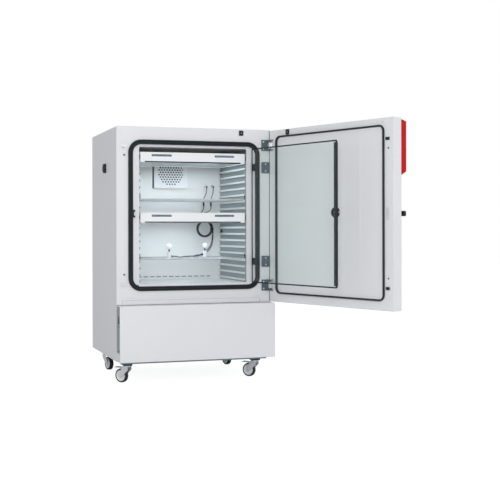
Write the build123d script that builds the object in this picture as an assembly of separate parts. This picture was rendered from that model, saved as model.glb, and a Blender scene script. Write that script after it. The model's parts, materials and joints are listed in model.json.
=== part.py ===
from build123d import *
from math import cos, hypot, pi, radians, sin, sqrt, tan
import os

# Climate chamber on castors, seen with its outer door and inner glass door open.
# All sizes are in millimetres. X points right, Y points to the back and Z points up.
# The origin is on the floor, under the middle of the cabinet.

# Sheet metal
SHEET = 2.0
SHELL_R = 6.0
HEM_DEPTH = 22.0

# Castors; the cabinet's underside lies on their mounting blocks
CASTOR_SIDE = 74.5
CASTOR_FRONT = 62.0
CASTOR_BACK = 70.0
MOUNT_W = 52.0
MOUNT_H = 30.0
MOUNT_R = 4.0
WHEEL_R = 40.0
WHEEL_W = 28.0
WHEEL_ROUND = 5.0
WHEEL_DISH = 4.0
TYRE_T = 12.0
WHEEL_HUB_R = 10.0
TRAIL = 38.0
AXLE_R = 4.0
AXLE_FIT = 0.05
KINGPIN_R = 6.0
KINGPIN_L = 19.0
KINGPIN_FREE = 3.0
FORK_RISE = 19.4
FORK_TOP_R = 24.0
FORK_TOP_T = 7.0
FORK_GAP = 0.6
CHEEK_T = 3.0
CHEEK_GAP = 1.6
CHEEK_BACK = 17.0
CHEEK_LOW = 9.0
PEDAL_PIVOT_X = 14.0
PEDAL_PIVOT_RISE = 4.6
PEDAL_PIN_R = 2.0
PEDAL_BARREL_R = 3.8
PEDAL_GAP = 0.6
PEDAL_LEN = 66.0
PEDAL_FOOT = 32.0
PEDAL_T = 4.0
PEDAL_W = 30.0
PEDAL_R = 7.0
PEDAL_REST = 3.2
# Compass angle of each trailing wheel, from +X towards +Y
TRAIL_ANGLES = {"front_left": 130.0, "front_right": 130.0, "rear_left": 285.0, "rear_right": 285.0}

# Lower cover with its side strip and power switch
COVER_LIFT = 4.0
COVER_H = 313.0
COVER_R = 5.0
STRIP_INSET = 3.0
STRIP_FRONT = 4.0
STRIP_PLATE = 3.0
STRIP_FOOT = 50.0
SWITCH_Y = 60.0
SWITCH_DROP = 77.0
SWITCH_W = 28.0
SWITCH_H = 48.0
SWITCH_FIT = 0.4
SWITCH_DEEP = 16.0
SWITCH_OUT = 2.5
SWITCH_RIM = 2.0
SWITCH_WAIST = 1.0
SWITCH_KEEL = 3.0
SWITCH_PIN_R = 2.0

# Chamber
ROOM_W = 650.0
ROOM_D = 485.0
ROOM_H = 785.0
ROOM_R = 10.0
ROOM_LIFT = 114.0
RECESS = 26.0
MOUTH_STEP_X = 43.0
MOUTH_STEP_Z = 10.5
MOUTH_R = 48.0
GASKET_BAND = 27.0
GASKET_T = 14.0
GROOVE_W = 6.0
GROOVE_D = 5.0
FRAME_SIDE = 67.5

# Insulation and air duct
INS_GAP = 33.5
INS_TOP = 88.0
INS_TOP_GAP = 20.0
INS_BOTTOM = 58.0
INS_BACK = 95.0
REAR_SPACE = 98.0
DUCT_SIDE = 45.0
DUCT_D = 52.0
DUCT_TOP_GAP = 12.0

# Cabinet front
FRAME_GAP = 2.0
SILL_INSET = 56.5
SILL_H = 37.0
SILL_GAP = 0.5
SILL_DEPTH = 18.0

# Ribbed side walls and racks
WALL_T = 1.5
WALL_GAP = 3.0
RIB_PITCH = 38.5
RIB_FIRST = 20.0
RIB_H = 11.0
RIB_SLOPE = 4.0
RIB_OUT = 8.0
RACK_SIDE = 4.5
RACK_BACK = 57.0
RACK_FRONT = 8.0
RACK_ROD_R = 4.0
RACK_END_R = 3.5
RACK_CROSS_R = 2.6
RACK_CROSSES = 3
RACK_WIRE_R = 2.0
RACK_WIRES = 27
RACK_LIFT = 0.3
LOWER_RACK_RIB = 3
UPPER_RACK_RIB = 12

# Circulating fan
FAN_X = -5.0
FAN_DROP = 117.0
FAN_COVER = 216.0
FAN_COVER_D = 16.0
FAN_COVER_DROP = 99.0
FAN_COVER_R = 4.0
FAN_RING = 80.0
FAN_HOLE_R = 8.5
FAN_HOLE_PITCH = 26.0
FAN_MOUTH_R = 84.0
FAN_R = 72.0
FAN_DEPTH = 32.0
FAN_BACK_GAP = 8.0
FAN_DISC_T = 2.0
FAN_VANES = 9
FAN_VANE_T = 2.5
FAN_HUB_R = 22.0
SHAFT_R = 5.0
SHAFT_FIT = 0.05
SHAFT_END = 2.0
MOTOR_R = 45.0
MOTOR_L = 68.0
MOTOR_PLATE = 4.0
MOTOR_PLATE_W = 140.0
MOTOR_ROUND = 6.0

# Access port in the left side
PORT_R = 15.0
PORT_BACK = 285.0
PORT_DROP = 112.0
SLEEVE_T = 2.5
PORT_FLANGE_R = 29.0
PORT_FLANGE_T = 3.0
PLUG_HEAD_R = 28.0
PLUG_HEAD_L = 15.0
PLUG_STEM_L = 90.0
PLUG_FIT = 0.05
PLUG_ROUND = 2.0

# Outer door, drawn shut and then opened
DOOR_T = 70.0
DOOR_LIFT = 3.0
DOOR_TOP_GAP = 5.0
DOOR_R = 9.0
DOOR_SKIN = 1.2
DOOR_FOAM_GAP = 0.3
DOOR_OPEN = 111.76
HINGE_IN = 4.5
HINGE_DY = 12.0
DOOR_GASKET_OUT = 6.5
DOOR_GASKET_LOW = 22.5
DOOR_GASKET_HIGH = 30.5
DOOR_GASKET_W = 8.0
DOOR_GASKET_R = 35.0
DOOR_GASKET_FREE = 0.3
FIELD_SIDE = 163.5
FIELD_LOW = 58.0
FIELD_HIGH = 59.0
FIELD_RISE = 1.5
FIELD_R = 14.0

# Outer hinges and the buffer blocks
HINGE_H = 64.0
HINGE_TOP = 86.0
HINGE_LOW = 97.0
HINGE_PLATE_T = 8.0
HINGE_PLATE_GAP = 13.0
HINGE_PLATE_W = 40.0
KNUCKLE_R = 7.0
PIN_R = 4.0
PIN_FIT = 0.05
EAR_H = 14.0
EAR_GAP = 0.5
EAR_WEB = 24.0
EAR_FRONT = 3.0
EAR_BACK = 5.0
POCKET_DEEP = 7.0
POCKET_IN = 28.0
POCKET_GAP = 2.0
LEAF_T = 4.0
LEAF_W = 34.0
LEAF_NECK_IN = 5.0
LEAF_NECK_OUT = 2.0
BLOCK_H = 64.0
BLOCK_TOP = 111.0
BLOCK_LOW = 125.0
BLOCK_W = 46.0
BLOCK_T = 12.0
BLOCK_R = 5.0

# Door contact: a switch on the frame and its counterpart beside it on the door
CONTACT_X = 282.0
CONTACT_DOOR_X = 310.0
CONTACT_W = 26.0
CONTACT_H = 30.0
CONTACT_T = 6.0
CONTACT_R = 3.0
CONTACT_DROP = 8.0

# Door latch
LATCH_OUT = 29.0
LATCH_TOP = 110.0
LATCH_LOW = 118.0
HOOK_HEAD_W = 24.0
HOOK_HEAD_H = 10.0
HOOK_HEAD_T = 3.0
HOOK_STEM_W = 6.0
HOOK_REACH = 30.0
HOOK_PLATE = 6.0
SLOT_MARGIN = 3.0
GUIDE_SIDE = 6.0
GUIDE_TOP = 49.0
GUIDE_LOW = 52.0
GUIDE_R = 5.0
ROD_W = 12.0
ROD_T = 4.0
ROD_SET = 20.0
ROD_DROP = 22.0
ROD_GUIDE_FIT = 0.3
ROD_GUIDE_T = 3.0
ROD_GUIDE_H = 14.0
ROD_GUIDES = 3
CLAW_T = 3.0
CLAW_H = 18.0
CLAW_FOOT = 6.0
CLAW_BACK = 8.0
CHANNEL_SIDE = 18.0
CHANNEL_DEEP = 32.0
CHANNEL_LOW = 60.0
CHANNEL_HIGH = 40.0

# Door handle
HANDLE_SIDE = 3.0
HANDLE_LIFT = 1.5
HANDLE_H = 25.0
HANDLE_L = 150.0
HANDLE_OUT = 37.0
HANDLE_ARM = 16.0
HANDLE_GAP = 0.3
HANDLE_ROUND = 3.0
SPINDLE_R = 5.0
SPINDLE_GAP = 6.0

# Controller on the outer door
PANEL_W = 420.0
PANEL_H = 290.0
PANEL_TOP = 8.0
PANEL_OUT = 37.0
PANEL_TOP_CUT = 9.0
PANEL_LOW_CUT = 19.0
PANEL_WALL = 3.0
PANEL_INSET_FOOT = 0.2
PANEL_INSET_EDGE = 0.6
PANEL_SET = 0.5
WINDOW_W = 196.0
WINDOW_H = 122.0
WINDOW_T = 3.0
WINDOW_R = 5.0
WINDOW_FIT = 0.3
WINDOW_LEDGE = 8.0

# Inner glass door, drawn shut and then opened
GLASS_OPEN = 109.26
GLASS_T = 6.0
GLASS_AXIS_SIDE = 12.0
GLASS_AXIS_IN = 8.0
GLASS_IN = 14.0
GLASS_FREE_SIDE = 16.0
GLASS_HINGE_SIDE = 19.0
GLASS_EDGE = 9.5
GLASS_R = 48.0
SEAL_W = 12.0
SEAL_FREE = 0.4
STRIP_W = 22.0
STRIP_T = 1.6
GLASS_HINGE_H = 40.0
GLASS_KNUCKLE_R = 4.5
GLASS_PIN_R = 2.5
GLASS_EAR_H = 9.0
GLASS_EAR_FOOT = 10.0
GLASS_LEAF_W = 32.0
GLASS_LEAF_T = 2.0
GLASS_NECK = 4.0
KNOB_LIFT = 9.5
KNOB_R = 27.5
KNOB_GAP = 2.5
KNOB_FLAT = 22.5
KNOB_OUT = 20.0
KNOB_SET = 1.0
KNOB_ROUND = 3.0
KNOB_SHAFT_R = 5.0
KNOB_COLLAR = 3.0
KNOB_COLLAR_GAP = 0.3
TONGUE_H = 16.0
TONGUE_T = 3.0
TONGUE_GAP = 2.5
CATCH_W = 10.0
CATCH_H = 44.0
CATCH_OUT = 11.5
CATCH_GAP = 0.5

# Light cassettes
CAS_SIDE = 9.0
CAS_BACK = 89.0
CAS_H = 58.0
CAS_FRONT_H = 52.0
CAS_SHEET = 1.5
CAS_FRONT = 4.0
CAS_LOW = 15.5
CAS_RUNNER_T = 2.5
CAS_RUNNER_OUT = 4.0
CAS_RUNNER_FRONT = 18.5
CAS_RUNNER_BACK = 4.0
CAS_SLOT_X = 190.0
CAS_SLOT_W = 120.0
CAS_SLOT_H = 13.0
CAS_SLOT_R = 3.0
CAS_SLOT_DROP = 18.0
CAS_CAP_W = 26.0
CAS_LIP = 10.5
DIFFUSER_T = 3.0
DIFFUSER_LIFT = 3.0
TUBE_R = 8.0
TUBE_LIFT = 2.0
TUBE_COUNT = 5
TUBE_CAP_R = 8.6
TUBE_CAP_L = 14.0
LOWER_CAS_RIB = 9

# Machine room
COMP_R = 78.0
COMP_H = 190.0
COMP_X = -250.0
COMP_Y = 180.0
COMP_ROUND = 26.0
COMP_FOOT_R = 10.0
COMP_FOOT_H = 12.0
COMP_PLATE_T = 5.0
COMP_PLATE_OUT = 12.0
COMP_PIPE_X = 30.0
COND_W = 300.0
COND_T = 44.0
COND_H = 190.0
COND_X = 130.0
COND_Y = 250.0
COND_SIDE_T = 3.0
COND_TUBES = 6
COND_TUBE_OUT = 8.0
COND_FIN_IN = 12.0
COND_FIN_CUT = 6.0
HUMID_R = 60.0
HUMID_H = 230.0
HUMID_X = 330.0
HUMID_Y = 60.0
HUMID_ROUND = 14.0
HUMID_FOOT = 8.0
HUMID_FOOT_T = 6.0
HUMID_PIPE_R = 12.0
PIPE_RISE = 60.0
POWER_W = 260.0
POWER_D = 180.0
POWER_H = 110.0
POWER_X = -40.0
POWER_Y = -170.0
POWER_BLOCKS = 4
POWER_BLOCK_W = 40.0
POWER_BLOCK_D = 90.0
POWER_BLOCK_H = 40.0
POWER_BLOCK_PITCH = 58.0
POWER_BLOCK_STEP = 12.0
POWER_BLOCK_X = 20.0
POWER_BLOCK_Y = 30.0
FIN_PITCH = 12.0
FIN_T = 1.0
PIPE_R = 5.0
EVAP_W = 480.0
EVAP_H = 250.0
EVAP_T = 36.0
EVAP_LIFT = 197.0
EVAP_TUBES = 5
EVAP_HEADER = 8.0
EVAP_HEADER_IN = 4.0
EVAP_FIN_IN = 30.0
EVAP_TUBE_IN = 6.0
PIPE_END = 10.0
NOZZLE_R = 8.0
NOZZLE_BORE = 5.0
NOZZLE_L = 24.0
NOZZLE_X = 330.0
NOZZLE_LIFT = 110.0
NOZZLE_STEP = 60.0
NUT_R = 14.0
NUT_T = 8.0
VENT_SLOTS = 14
VENT_W = 120.0
VENT_H = 5.0
VENT_PITCH = 14.0
VENT_LIFT = 50.0

# Light sensors and their leads; depths are measured from the chamber's back wall
LEAD_D = 5.0
SOCKET_X = (224.0, 268.0)
SOCKET_Z = 1152.0
SOCKET_R = 9.0
SOCKET_T = 10.0
PLUG_R = 6.5
PLUG_L = 32.0
ELBOW_R = 5.0
ELBOW_STEM_R = 4.5
ELBOW_STEM_L = 12.0
ELBOW_DROP = 16.0
ELBOW_SIDE = 3.0
LEAD_OFF_WALL = 25.0
CONNECTOR_X = (204.0, 252.0)
CONNECTOR_OFF_WALL = 33.0
CONNECTOR_R = 5.5
CONNECTOR_ROUND = 1.5
CONNECTOR_Z1 = 1052.0
CONNECTOR_Z0 = 1018.0
COIL_X = 205.0
COIL_Z = 878.0
COIL_R = 54.0
COIL_LAYER = 5.8
COIL_ENTRY = 90.0
COIL_LOOPS = 3
COIL_IN = 12.0
COIL_Y_BACK = 39.0
COIL_RUN_OUT = 20.0
QUARTER = 90.0
TIE_T = 2.0
TIE_W = 9.0
TIE_CLEAR = 0.6
SENSOR_R = 12.5
SENSOR_BODY_H = 36.0
SENSOR_ROUND = 3.0
SENSOR_NECK_R = 4.5
SENSOR_BALL_R = 17.0
SENSOR_BALL_Z = 68.0
SENSOR_STUB_R = 4.0
SENSOR_STUB_L = 12.0
SENSOR_STUB_Z = 12.0
SENSOR_RUN_IN = 26.0
SENSOR_LEFT = (-125.0, 403.0)
SENSOR_RIGHT = (168.0, 168.0)
LEAD_CLEAR = 0.3
LEAD_ARC = 0.45

# Places worked out from the sizes above
FORK_TOP_Z = 2 * WHEEL_R + FORK_RISE
BASE_Z = FORK_TOP_Z + FORK_GAP + MOUNT_H
PEDAL_PIVOT_Z = 2 * WHEEL_R + PEDAL_PIVOT_RISE
PEDAL_Z = 2 * WHEEL_R + PEDAL_REST
CHEEK_IN = WHEEL_W / 2 + CHEEK_GAP
COVER_Z0 = BASE_Z + COVER_LIFT
COVER_Z1 = COVER_Z0 + COVER_H
FRAME_Z0 = COVER_Z1 + FRAME_GAP
SILL_TOP = FRAME_Z0 + SILL_H
ROOM_Z0 = FRAME_Z0 + ROOM_LIFT
ROOM_Z1 = ROOM_Z0 + ROOM_H
CAB_H = ROOM_Z1 + INS_TOP + INS_TOP_GAP + 2 * SHEET
MOUTH_W = ROOM_W + 2 * MOUTH_STEP_X
MOUTH_H = ROOM_H + 2 * MOUTH_STEP_Z
MOUTH_Z = ROOM_Z0 + ROOM_H / 2
BAND_X = MOUTH_W / 2 + GASKET_BAND
BAND_Z = MOUTH_H / 2 + GASKET_BAND
CAB_W = 2 * (BAND_X + FRAME_SIDE)
CAB_D = RECESS + ROOM_D + INS_BACK + REAR_SPACE + 3 * SHEET
SILL_W = CAB_W - 2 * SILL_INSET
FRONT_Y = -CAB_D / 2
BACK_Y = CAB_D / 2
RIM_Y = FRONT_Y + RECESS + SHEET
WALL_Y = RIM_Y + ROOM_D
DUCT_W = ROOM_W - 2 * DUCT_SIDE
RIB_COUNT = int((ROOM_H - WALL_GAP - RIB_FIRST) / RIB_PITCH) + 1
UPPER_CAS_RIB = RIB_COUNT - 2
RACK_W = ROOM_W - 2 * RACK_SIDE
RACK_D = ROOM_D - RACK_FRONT - RACK_BACK
RACK_Y0 = RIM_Y + RACK_FRONT
CAS_W = ROOM_W - 2 * CAS_SIDE
CAS_D = ROOM_D - CAS_FRONT - CAS_BACK
CAS_Y0 = RIM_Y + CAS_FRONT
FAN_Z = ROOM_Z1 - FAN_DROP
PORT_Y = FRONT_Y + PORT_BACK
PORT_Z = ROOM_Z1 - PORT_DROP
EVAP_Z = ROOM_Z0 + EVAP_LIFT
NOZZLE_Z = BASE_Z + NOZZLE_LIFT
SWITCH_Z = COVER_Z1 - SWITCH_DROP
CASTOR_X = CAB_W / 2 - CASTOR_SIDE
DOOR_IN_Y = FRONT_Y - GASKET_T
DOOR_OUT_Y = DOOR_IN_Y - DOOR_T
DOOR_Z0 = COVER_Z1 + DOOR_LIFT
DOOR_Z1 = CAB_H - DOOR_TOP_GAP
DOOR_GASKET_X = BAND_X + DOOR_GASKET_OUT
DOOR_GASKET_Z0 = MOUTH_Z - BAND_Z - DOOR_GASKET_LOW
DOOR_GASKET_Z1 = MOUTH_Z + BAND_Z + DOOR_GASKET_HIGH
FIELD_X = DOOR_GASKET_X - FIELD_SIDE
FIELD_Z0 = DOOR_GASKET_Z0 + FIELD_LOW
FIELD_Z1 = DOOR_GASKET_Z1 - FIELD_HIGH
HINGE_X = CAB_W / 2 - HINGE_IN
HINGE_Y = FRONT_Y - HINGE_DY
HINGE_TOP_Z = DOOR_Z1 - HINGE_TOP
HINGE_LOW_Z = DOOR_Z0 + HINGE_LOW
HINGE_PLATE_X0 = BAND_X + HINGE_PLATE_GAP
DOOR_AXIS = Axis((HINGE_X, HINGE_Y, 0), (0, 0, 1))
LATCH_X = -BAND_X - LATCH_OUT
LATCH_TOP_Z = DOOR_Z1 - LATCH_TOP
LATCH_LOW_Z = DOOR_Z0 + LATCH_LOW
GUIDE_X = LATCH_X + GUIDE_SIDE
GUIDE_TOP_Z = LATCH_TOP_Z - GUIDE_TOP
GUIDE_LOW_Z = LATCH_LOW_Z + GUIDE_LOW
HANDLE_X = LATCH_X - HANDLE_SIDE
HANDLE_Z = MOUTH_Z + HANDLE_LIFT
PANEL_Z1 = DOOR_Z1 - PANEL_TOP
PANEL_Z0 = PANEL_Z1 - PANEL_H
GLASS_X0 = -MOUTH_W / 2 + GLASS_FREE_SIDE
GLASS_X1 = MOUTH_W / 2 - GLASS_HINGE_SIDE
GLASS_Z0 = MOUTH_Z - MOUTH_H / 2 + GLASS_EDGE
GLASS_Z1 = MOUTH_Z + MOUTH_H / 2 - GLASS_EDGE
GLASS_Y0 = FRONT_Y + GLASS_IN
GLASS_Y1 = GLASS_Y0 + GLASS_T
GLASS_AXIS_X = MOUTH_W / 2 - GLASS_AXIS_SIDE
GLASS_AXIS_Y = FRONT_Y + GLASS_AXIS_IN
GLASS_AXIS = Axis((GLASS_AXIS_X, GLASS_AXIS_Y, 0), (0, 0, 1))
BLOCK_TOP_Z = GLASS_Z1 - BLOCK_TOP
BLOCK_LOW_Z = GLASS_Z0 + BLOCK_LOW
KNOB_X = GLASS_X0 + STRIP_W + KNOB_SHAFT_R + KNOB_GAP
KNOB_Z = MOUTH_Z + KNOB_LIFT
TONGUE_TIP_X = -MOUTH_W / 2 + TONGUE_GAP
CONTACT_Z1 = CAB_H - CONTACT_DROP


def block(x0, x1, y0, y1, z0, z1):
    """A box between two corners."""
    return Pos((x0 + x1) / 2, (y0 + y1) / 2, (z0 + z1) / 2) * Box(x1 - x0, y1 - y0, z1 - z0)


def rod_x(y, z, r, x0, x1):
    return Pos((x0 + x1) / 2, y, z) * Rot(0, 90, 0) * Cylinder(r, x1 - x0)


def rod_y(x, z, r, y0, y1):
    return Pos(x, (y0 + y1) / 2, z) * Rot(90, 0, 0) * Cylinder(r, y1 - y0)


def rod_z(x, y, r, z0, z1):
    return Pos(x, y, (z0 + z1) / 2) * Cylinder(r, z1 - z0)


def slab(x0, x1, z0, z1, r, y0, y1):
    """A plate facing the front, with rounded corners."""
    plane = Plane.XZ.offset(-y1)
    face = plane * Pos((x0 + x1) / 2, (z0 + z1) / 2) * RectangleRounded(x1 - x0, z1 - z0, r)
    return extrude(face, amount=y1 - y0)


def ring(x0, x1, z0, z1, r, band, y0, y1):
    """A rounded frame of one band width, measured inwards from its outer edge."""
    outside = slab(x0, x1, z0, z1, r, y0, y1)
    inside = slab(x0 + band, x1 - band, z0 + band, z1 - band, r - band, y0 - 1, y1 + 1)
    return outside - inside


def rib_top(k):
    return ROOM_Z0 + RIB_FIRST + RIB_PITCH * k


def opened(shape):
    """Turns a piece of the outer door from shut to the open position."""
    return shape.rotate(DOOR_AXIS, DOOR_OPEN)


def glass_opened(shape):
    return shape.rotate(GLASS_AXIS, GLASS_OPEN)


def save(shape, name):
    shape.label = name
    export_step(shape, "parts/" + name + ".step")


def group(shapes):
    return Compound(children=[s for s in shapes])


# Cabinet sheet metal


def outer_shell():
    half = CAB_W / 2
    outside = block(-half, half, FRONT_Y + SHEET, BACK_Y - SHEET, BASE_Z, CAB_H)
    outside = fillet(outside.edges().filter_by(Axis.Y).group_by(Axis.Z)[-1], SHELL_R)
    inside = block(-half + SHEET, half - SHEET, FRONT_Y, BACK_Y, BASE_Z - 1, CAB_H - SHEET)
    inside = fillet(inside.edges().filter_by(Axis.Y).group_by(Axis.Z)[-1], SHELL_R - SHEET)
    hole = rod_x(PORT_Y, PORT_Z, PORT_R + SLEEVE_T, -half - 5, -half + 5)
    return outside - inside - hole


def cabinet_outline(y0, y1, z0):
    half = CAB_W / 2
    plate = block(-half, half, y0, y1, z0, CAB_H)
    return fillet(plate.edges().filter_by(Axis.Y).group_by(Axis.Z)[-1], SHELL_R)


def nozzle_hole(k, r):
    z = NOZZLE_Z + NOZZLE_STEP * k
    return rod_y(NOZZLE_X, z, r, BACK_Y - SHEET - 30, BACK_Y + 30)


def nozzle(k):
    """A hose nozzle with its nut, screwed through the back panel."""
    z = NOZZLE_Z + NOZZLE_STEP * k
    stem = rod_y(NOZZLE_X, z, NOZZLE_R, BACK_Y - SHEET - NUT_T, BACK_Y + NOZZLE_L)
    nut = rod_y(NOZZLE_X, z, NUT_R, BACK_Y, BACK_Y + NUT_T)
    return stem + nut - nozzle_hole(k, NOZZLE_BORE)


def back_panel():
    panel = cabinet_outline(BACK_Y - SHEET, BACK_Y, BASE_Z)
    for k in range(VENT_SLOTS):
        z = BASE_Z + VENT_LIFT + VENT_PITCH * k
        panel -= block(COND_X - VENT_W, COND_X + VENT_W, BACK_Y - 9, BACK_Y + 9, z, z + VENT_H)
    for k in range(2):
        panel -= nozzle_hole(k, NOZZLE_R)
    return group([panel, nozzle(0), nozzle(1)])


def base_tray():
    half = CAB_W / 2 - SHEET
    outside = block(-half, half, FRONT_Y + SHEET, BACK_Y - SHEET, BASE_Z, BASE_Z + HEM_DEPTH)
    inside = block(-half + SHEET, half - SHEET, FRONT_Y + 2 * SHEET, BACK_Y - 2 * SHEET,
                   BASE_Z + SHEET, BASE_Z + HEM_DEPTH + 1)
    return outside - inside


def mouth(grow, y0, y1):
    half = MOUTH_W / 2 + grow
    top = MOUTH_H / 2 + grow
    return slab(-half, half, MOUTH_Z - top, MOUTH_Z + top, MOUTH_R + grow, y0, y1)


def front_frame():
    """Front sheet with its stepped mouth, and the screwed sill strip under it."""
    plate = cabinet_outline(FRONT_Y, FRONT_Y + SHEET, FRAME_Z0)
    notch = SILL_W / 2 + SILL_GAP
    plate -= block(-notch, notch, FRONT_Y - 1, FRONT_Y + SHEET + 1, FRAME_Z0 - 1, SILL_TOP + SILL_GAP)
    for z in (GUIDE_TOP_Z, GUIDE_LOW_Z):
        plate -= rod_y(GUIDE_X, z, GUIDE_R, FRONT_Y - 1, FRONT_Y + SHEET + 1)
    tray = mouth(SHEET, FRONT_Y, RIM_Y) - mouth(0, FRONT_Y - 1, RIM_Y - SHEET)
    room = slab(-ROOM_W / 2, ROOM_W / 2, ROOM_Z0, ROOM_Z1, ROOM_R, RIM_Y - SHEET - 1, RIM_Y + 1)
    frame = plate - mouth(0, FRONT_Y - 1, FRONT_Y + SHEET + 1) + (tray - room)
    low = FRAME_Z0 + SILL_GAP
    sill = block(-SILL_W / 2, SILL_W / 2, FRONT_Y, FRONT_Y + SILL_DEPTH, low, SILL_TOP)
    sill -= block(-SILL_W / 2 - 1, SILL_W / 2 + 1, FRONT_Y + SHEET, FRONT_Y + SILL_DEPTH + 1,
                  low + SHEET, SILL_TOP - SHEET)
    return group([frame, sill])


def chamber_gasket():
    half = BAND_X
    top = BAND_Z
    r = MOUTH_R + GASKET_BAND
    y0 = FRONT_Y - GASKET_T + DOOR_GASKET_FREE
    body = ring(-half, half, MOUTH_Z - top, MOUTH_Z + top, r, GASKET_BAND, y0, FRONT_Y)
    inset = (GASKET_BAND - GROOVE_W) / 2
    groove = ring(-half + inset, half - inset, MOUTH_Z - top + inset, MOUTH_Z + top - inset,
                  r - inset, GROOVE_W, y0 - 1, y0 + GROOVE_D)
    return body - groove


# Chamber


def inner_liner():
    half = ROOM_W / 2
    back = WALL_Y + SHEET
    liner = block(-half - SHEET, half + SHEET, RIM_Y, back, ROOM_Z0 - SHEET, ROOM_Z1 + SHEET)
    liner -= block(-half, half, RIM_Y - 1, WALL_Y, ROOM_Z0, ROOM_Z1)
    liner -= rod_x(PORT_Y, PORT_Z, PORT_R + SLEEVE_T, -half - 9, -half + 9)
    liner -= rod_y(FAN_X, FAN_Z, FAN_MOUTH_R, WALL_Y - 9, WALL_Y + 9)
    for x in SOCKET_X:
        liner -= rod_y(x, SOCKET_Z, ELBOW_R, WALL_Y - 9, WALL_Y + 9)
    slot = DUCT_W / 2 - HEM_DEPTH
    liner -= block(-slot, slot, WALL_Y - 9, WALL_Y + 9, ROOM_Z0 + SLEEVE_T + NUT_T, ROOM_Z0 + HEM_DEPTH)
    return liner


def side_wall(side):
    """A pressed sheet with flat-topped ribs for the racks and cassettes."""
    wall = ROOM_W / 2
    face = wall - WALL_T
    tip = wall - RIB_OUT
    points = [(wall, ROOM_Z0 + WALL_GAP), (face, ROOM_Z0 + WALL_GAP)]
    for k in range(RIB_COUNT):
        top = rib_top(k)
        points += [(face, top - RIB_H - RIB_SLOPE), (tip, top - RIB_H), (tip, top), (face, top)]
    points += [(face, ROOM_Z1 - WALL_GAP), (wall, ROOM_Z1 - WALL_GAP)]
    points = [(side * x, z) for x, z in points]
    plane = Plane.XZ.offset(-(WALL_Y - WALL_GAP))
    sheet = extrude(plane * make_face(Polyline(*points, close=True)), amount=ROOM_D - 2 * WALL_GAP)
    if side < 0:
        sheet -= rod_x(PORT_Y, PORT_Z, PORT_R + SLEEVE_T, -wall - 9, -tip + 9)
    return sheet


def side_walls():
    return group([side_wall(-1), side_wall(1)])


def insulation():
    """Foam round the liner, with the air duct behind the room."""
    half = ROOM_W / 2 + SHEET
    side = CAB_W / 2 - SHEET - INS_GAP
    back = WALL_Y + SHEET
    foam = block(-side, side, RIM_Y, back + INS_BACK,
                 ROOM_Z0 - SHEET - INS_BOTTOM, ROOM_Z1 + SHEET + INS_TOP)
    foam -= block(-half, half, RIM_Y - 1, back, ROOM_Z0 - SHEET, ROOM_Z1 + SHEET)
    foam -= block(-DUCT_W / 2, DUCT_W / 2, back - 1, back + DUCT_D, ROOM_Z0, ROOM_Z1 - DUCT_TOP_GAP)
    foam -= rod_x(PORT_Y, PORT_Z, PORT_R + SLEEVE_T, -side - 1, -half + 1)
    foam -= rod_y(FAN_X, FAN_Z, 2 * SHAFT_R, back, back + INS_BACK + 1)
    for k in (-1, 1):
        x = k * (EVAP_W / 2 - PIPE_R)
        foam -= rod_y(x, EVAP_Z + k * EVAP_H / 4, PIPE_R + 1, back, back + INS_BACK + 1)
    return foam


def rack(k, y1):
    """A wire rack: four round edge rods, three cross rods and its wires."""
    z0 = rib_top(k) + RACK_LIFT
    z = z0 + RACK_ROD_R
    x = RACK_W / 2 - RACK_ROD_R
    y0 = RACK_Y0 + RACK_ROD_R
    y1 = y1 - RACK_ROD_R
    parts = []
    for side in (-1, 1):
        parts.append(rod_y(side * x, z, RACK_ROD_R, y0 - RACK_ROD_R, y1 + RACK_ROD_R))
    for y in (y0, y1):
        parts.append(rod_x(y, z, RACK_END_R, -x, x))
    for j in range(RACK_CROSSES):
        y = y0 + (y1 - y0) * (j + 1) / (RACK_CROSSES + 1)
        parts.append(rod_x(y, z0 + RACK_CROSS_R, RACK_CROSS_R, -x, x))
    for j in range(RACK_WIRES):
        wx = -x + 2 * x * (j + 1) / (RACK_WIRES + 1)
        top = z + RACK_ROD_R - RACK_WIRE_R
        parts.append(rod_y(wx, top, RACK_WIRE_R, y0 - RACK_ROD_R + 1, y1 + RACK_ROD_R - 1))
    return parts[0].fuse(*parts[1:])


def rack_lower():
    return rack(LOWER_RACK_RIB, RACK_Y0 + RACK_D)


def rack_upper():
    return rack(UPPER_RACK_RIB, RACK_Y0 + RACK_D)


def fan_cover():
    """A shallow tray with a round field of staggered holes."""
    half = FAN_COVER / 2
    z0 = FAN_Z - FAN_COVER_DROP
    y0 = WALL_Y - FAN_COVER_D
    tray = slab(FAN_X - half, FAN_X + half, z0, z0 + FAN_COVER, FAN_COVER_R, y0, WALL_Y)
    t = WALL_T
    tray -= block(FAN_X - half + t, FAN_X + half - t, y0 + t, WALL_Y + 1, z0 + t, z0 + FAN_COVER - t)
    step = FAN_HOLE_PITCH * cos(radians(30.0))
    rows = int(2 * FAN_RING / step)
    holes = []
    for row in range(-rows, rows + 1):
        for col in range(-rows, rows + 1):
            x = (col + (row % 2) / 2) * FAN_HOLE_PITCH
            z = row * step
            if hypot(x, z) <= FAN_RING - FAN_HOLE_R:
                holes.append(rod_y(FAN_X + x, FAN_Z + z, FAN_HOLE_R, y0 - 1, y0 + t + 1))
    return tray.cut(*holes)


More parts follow.
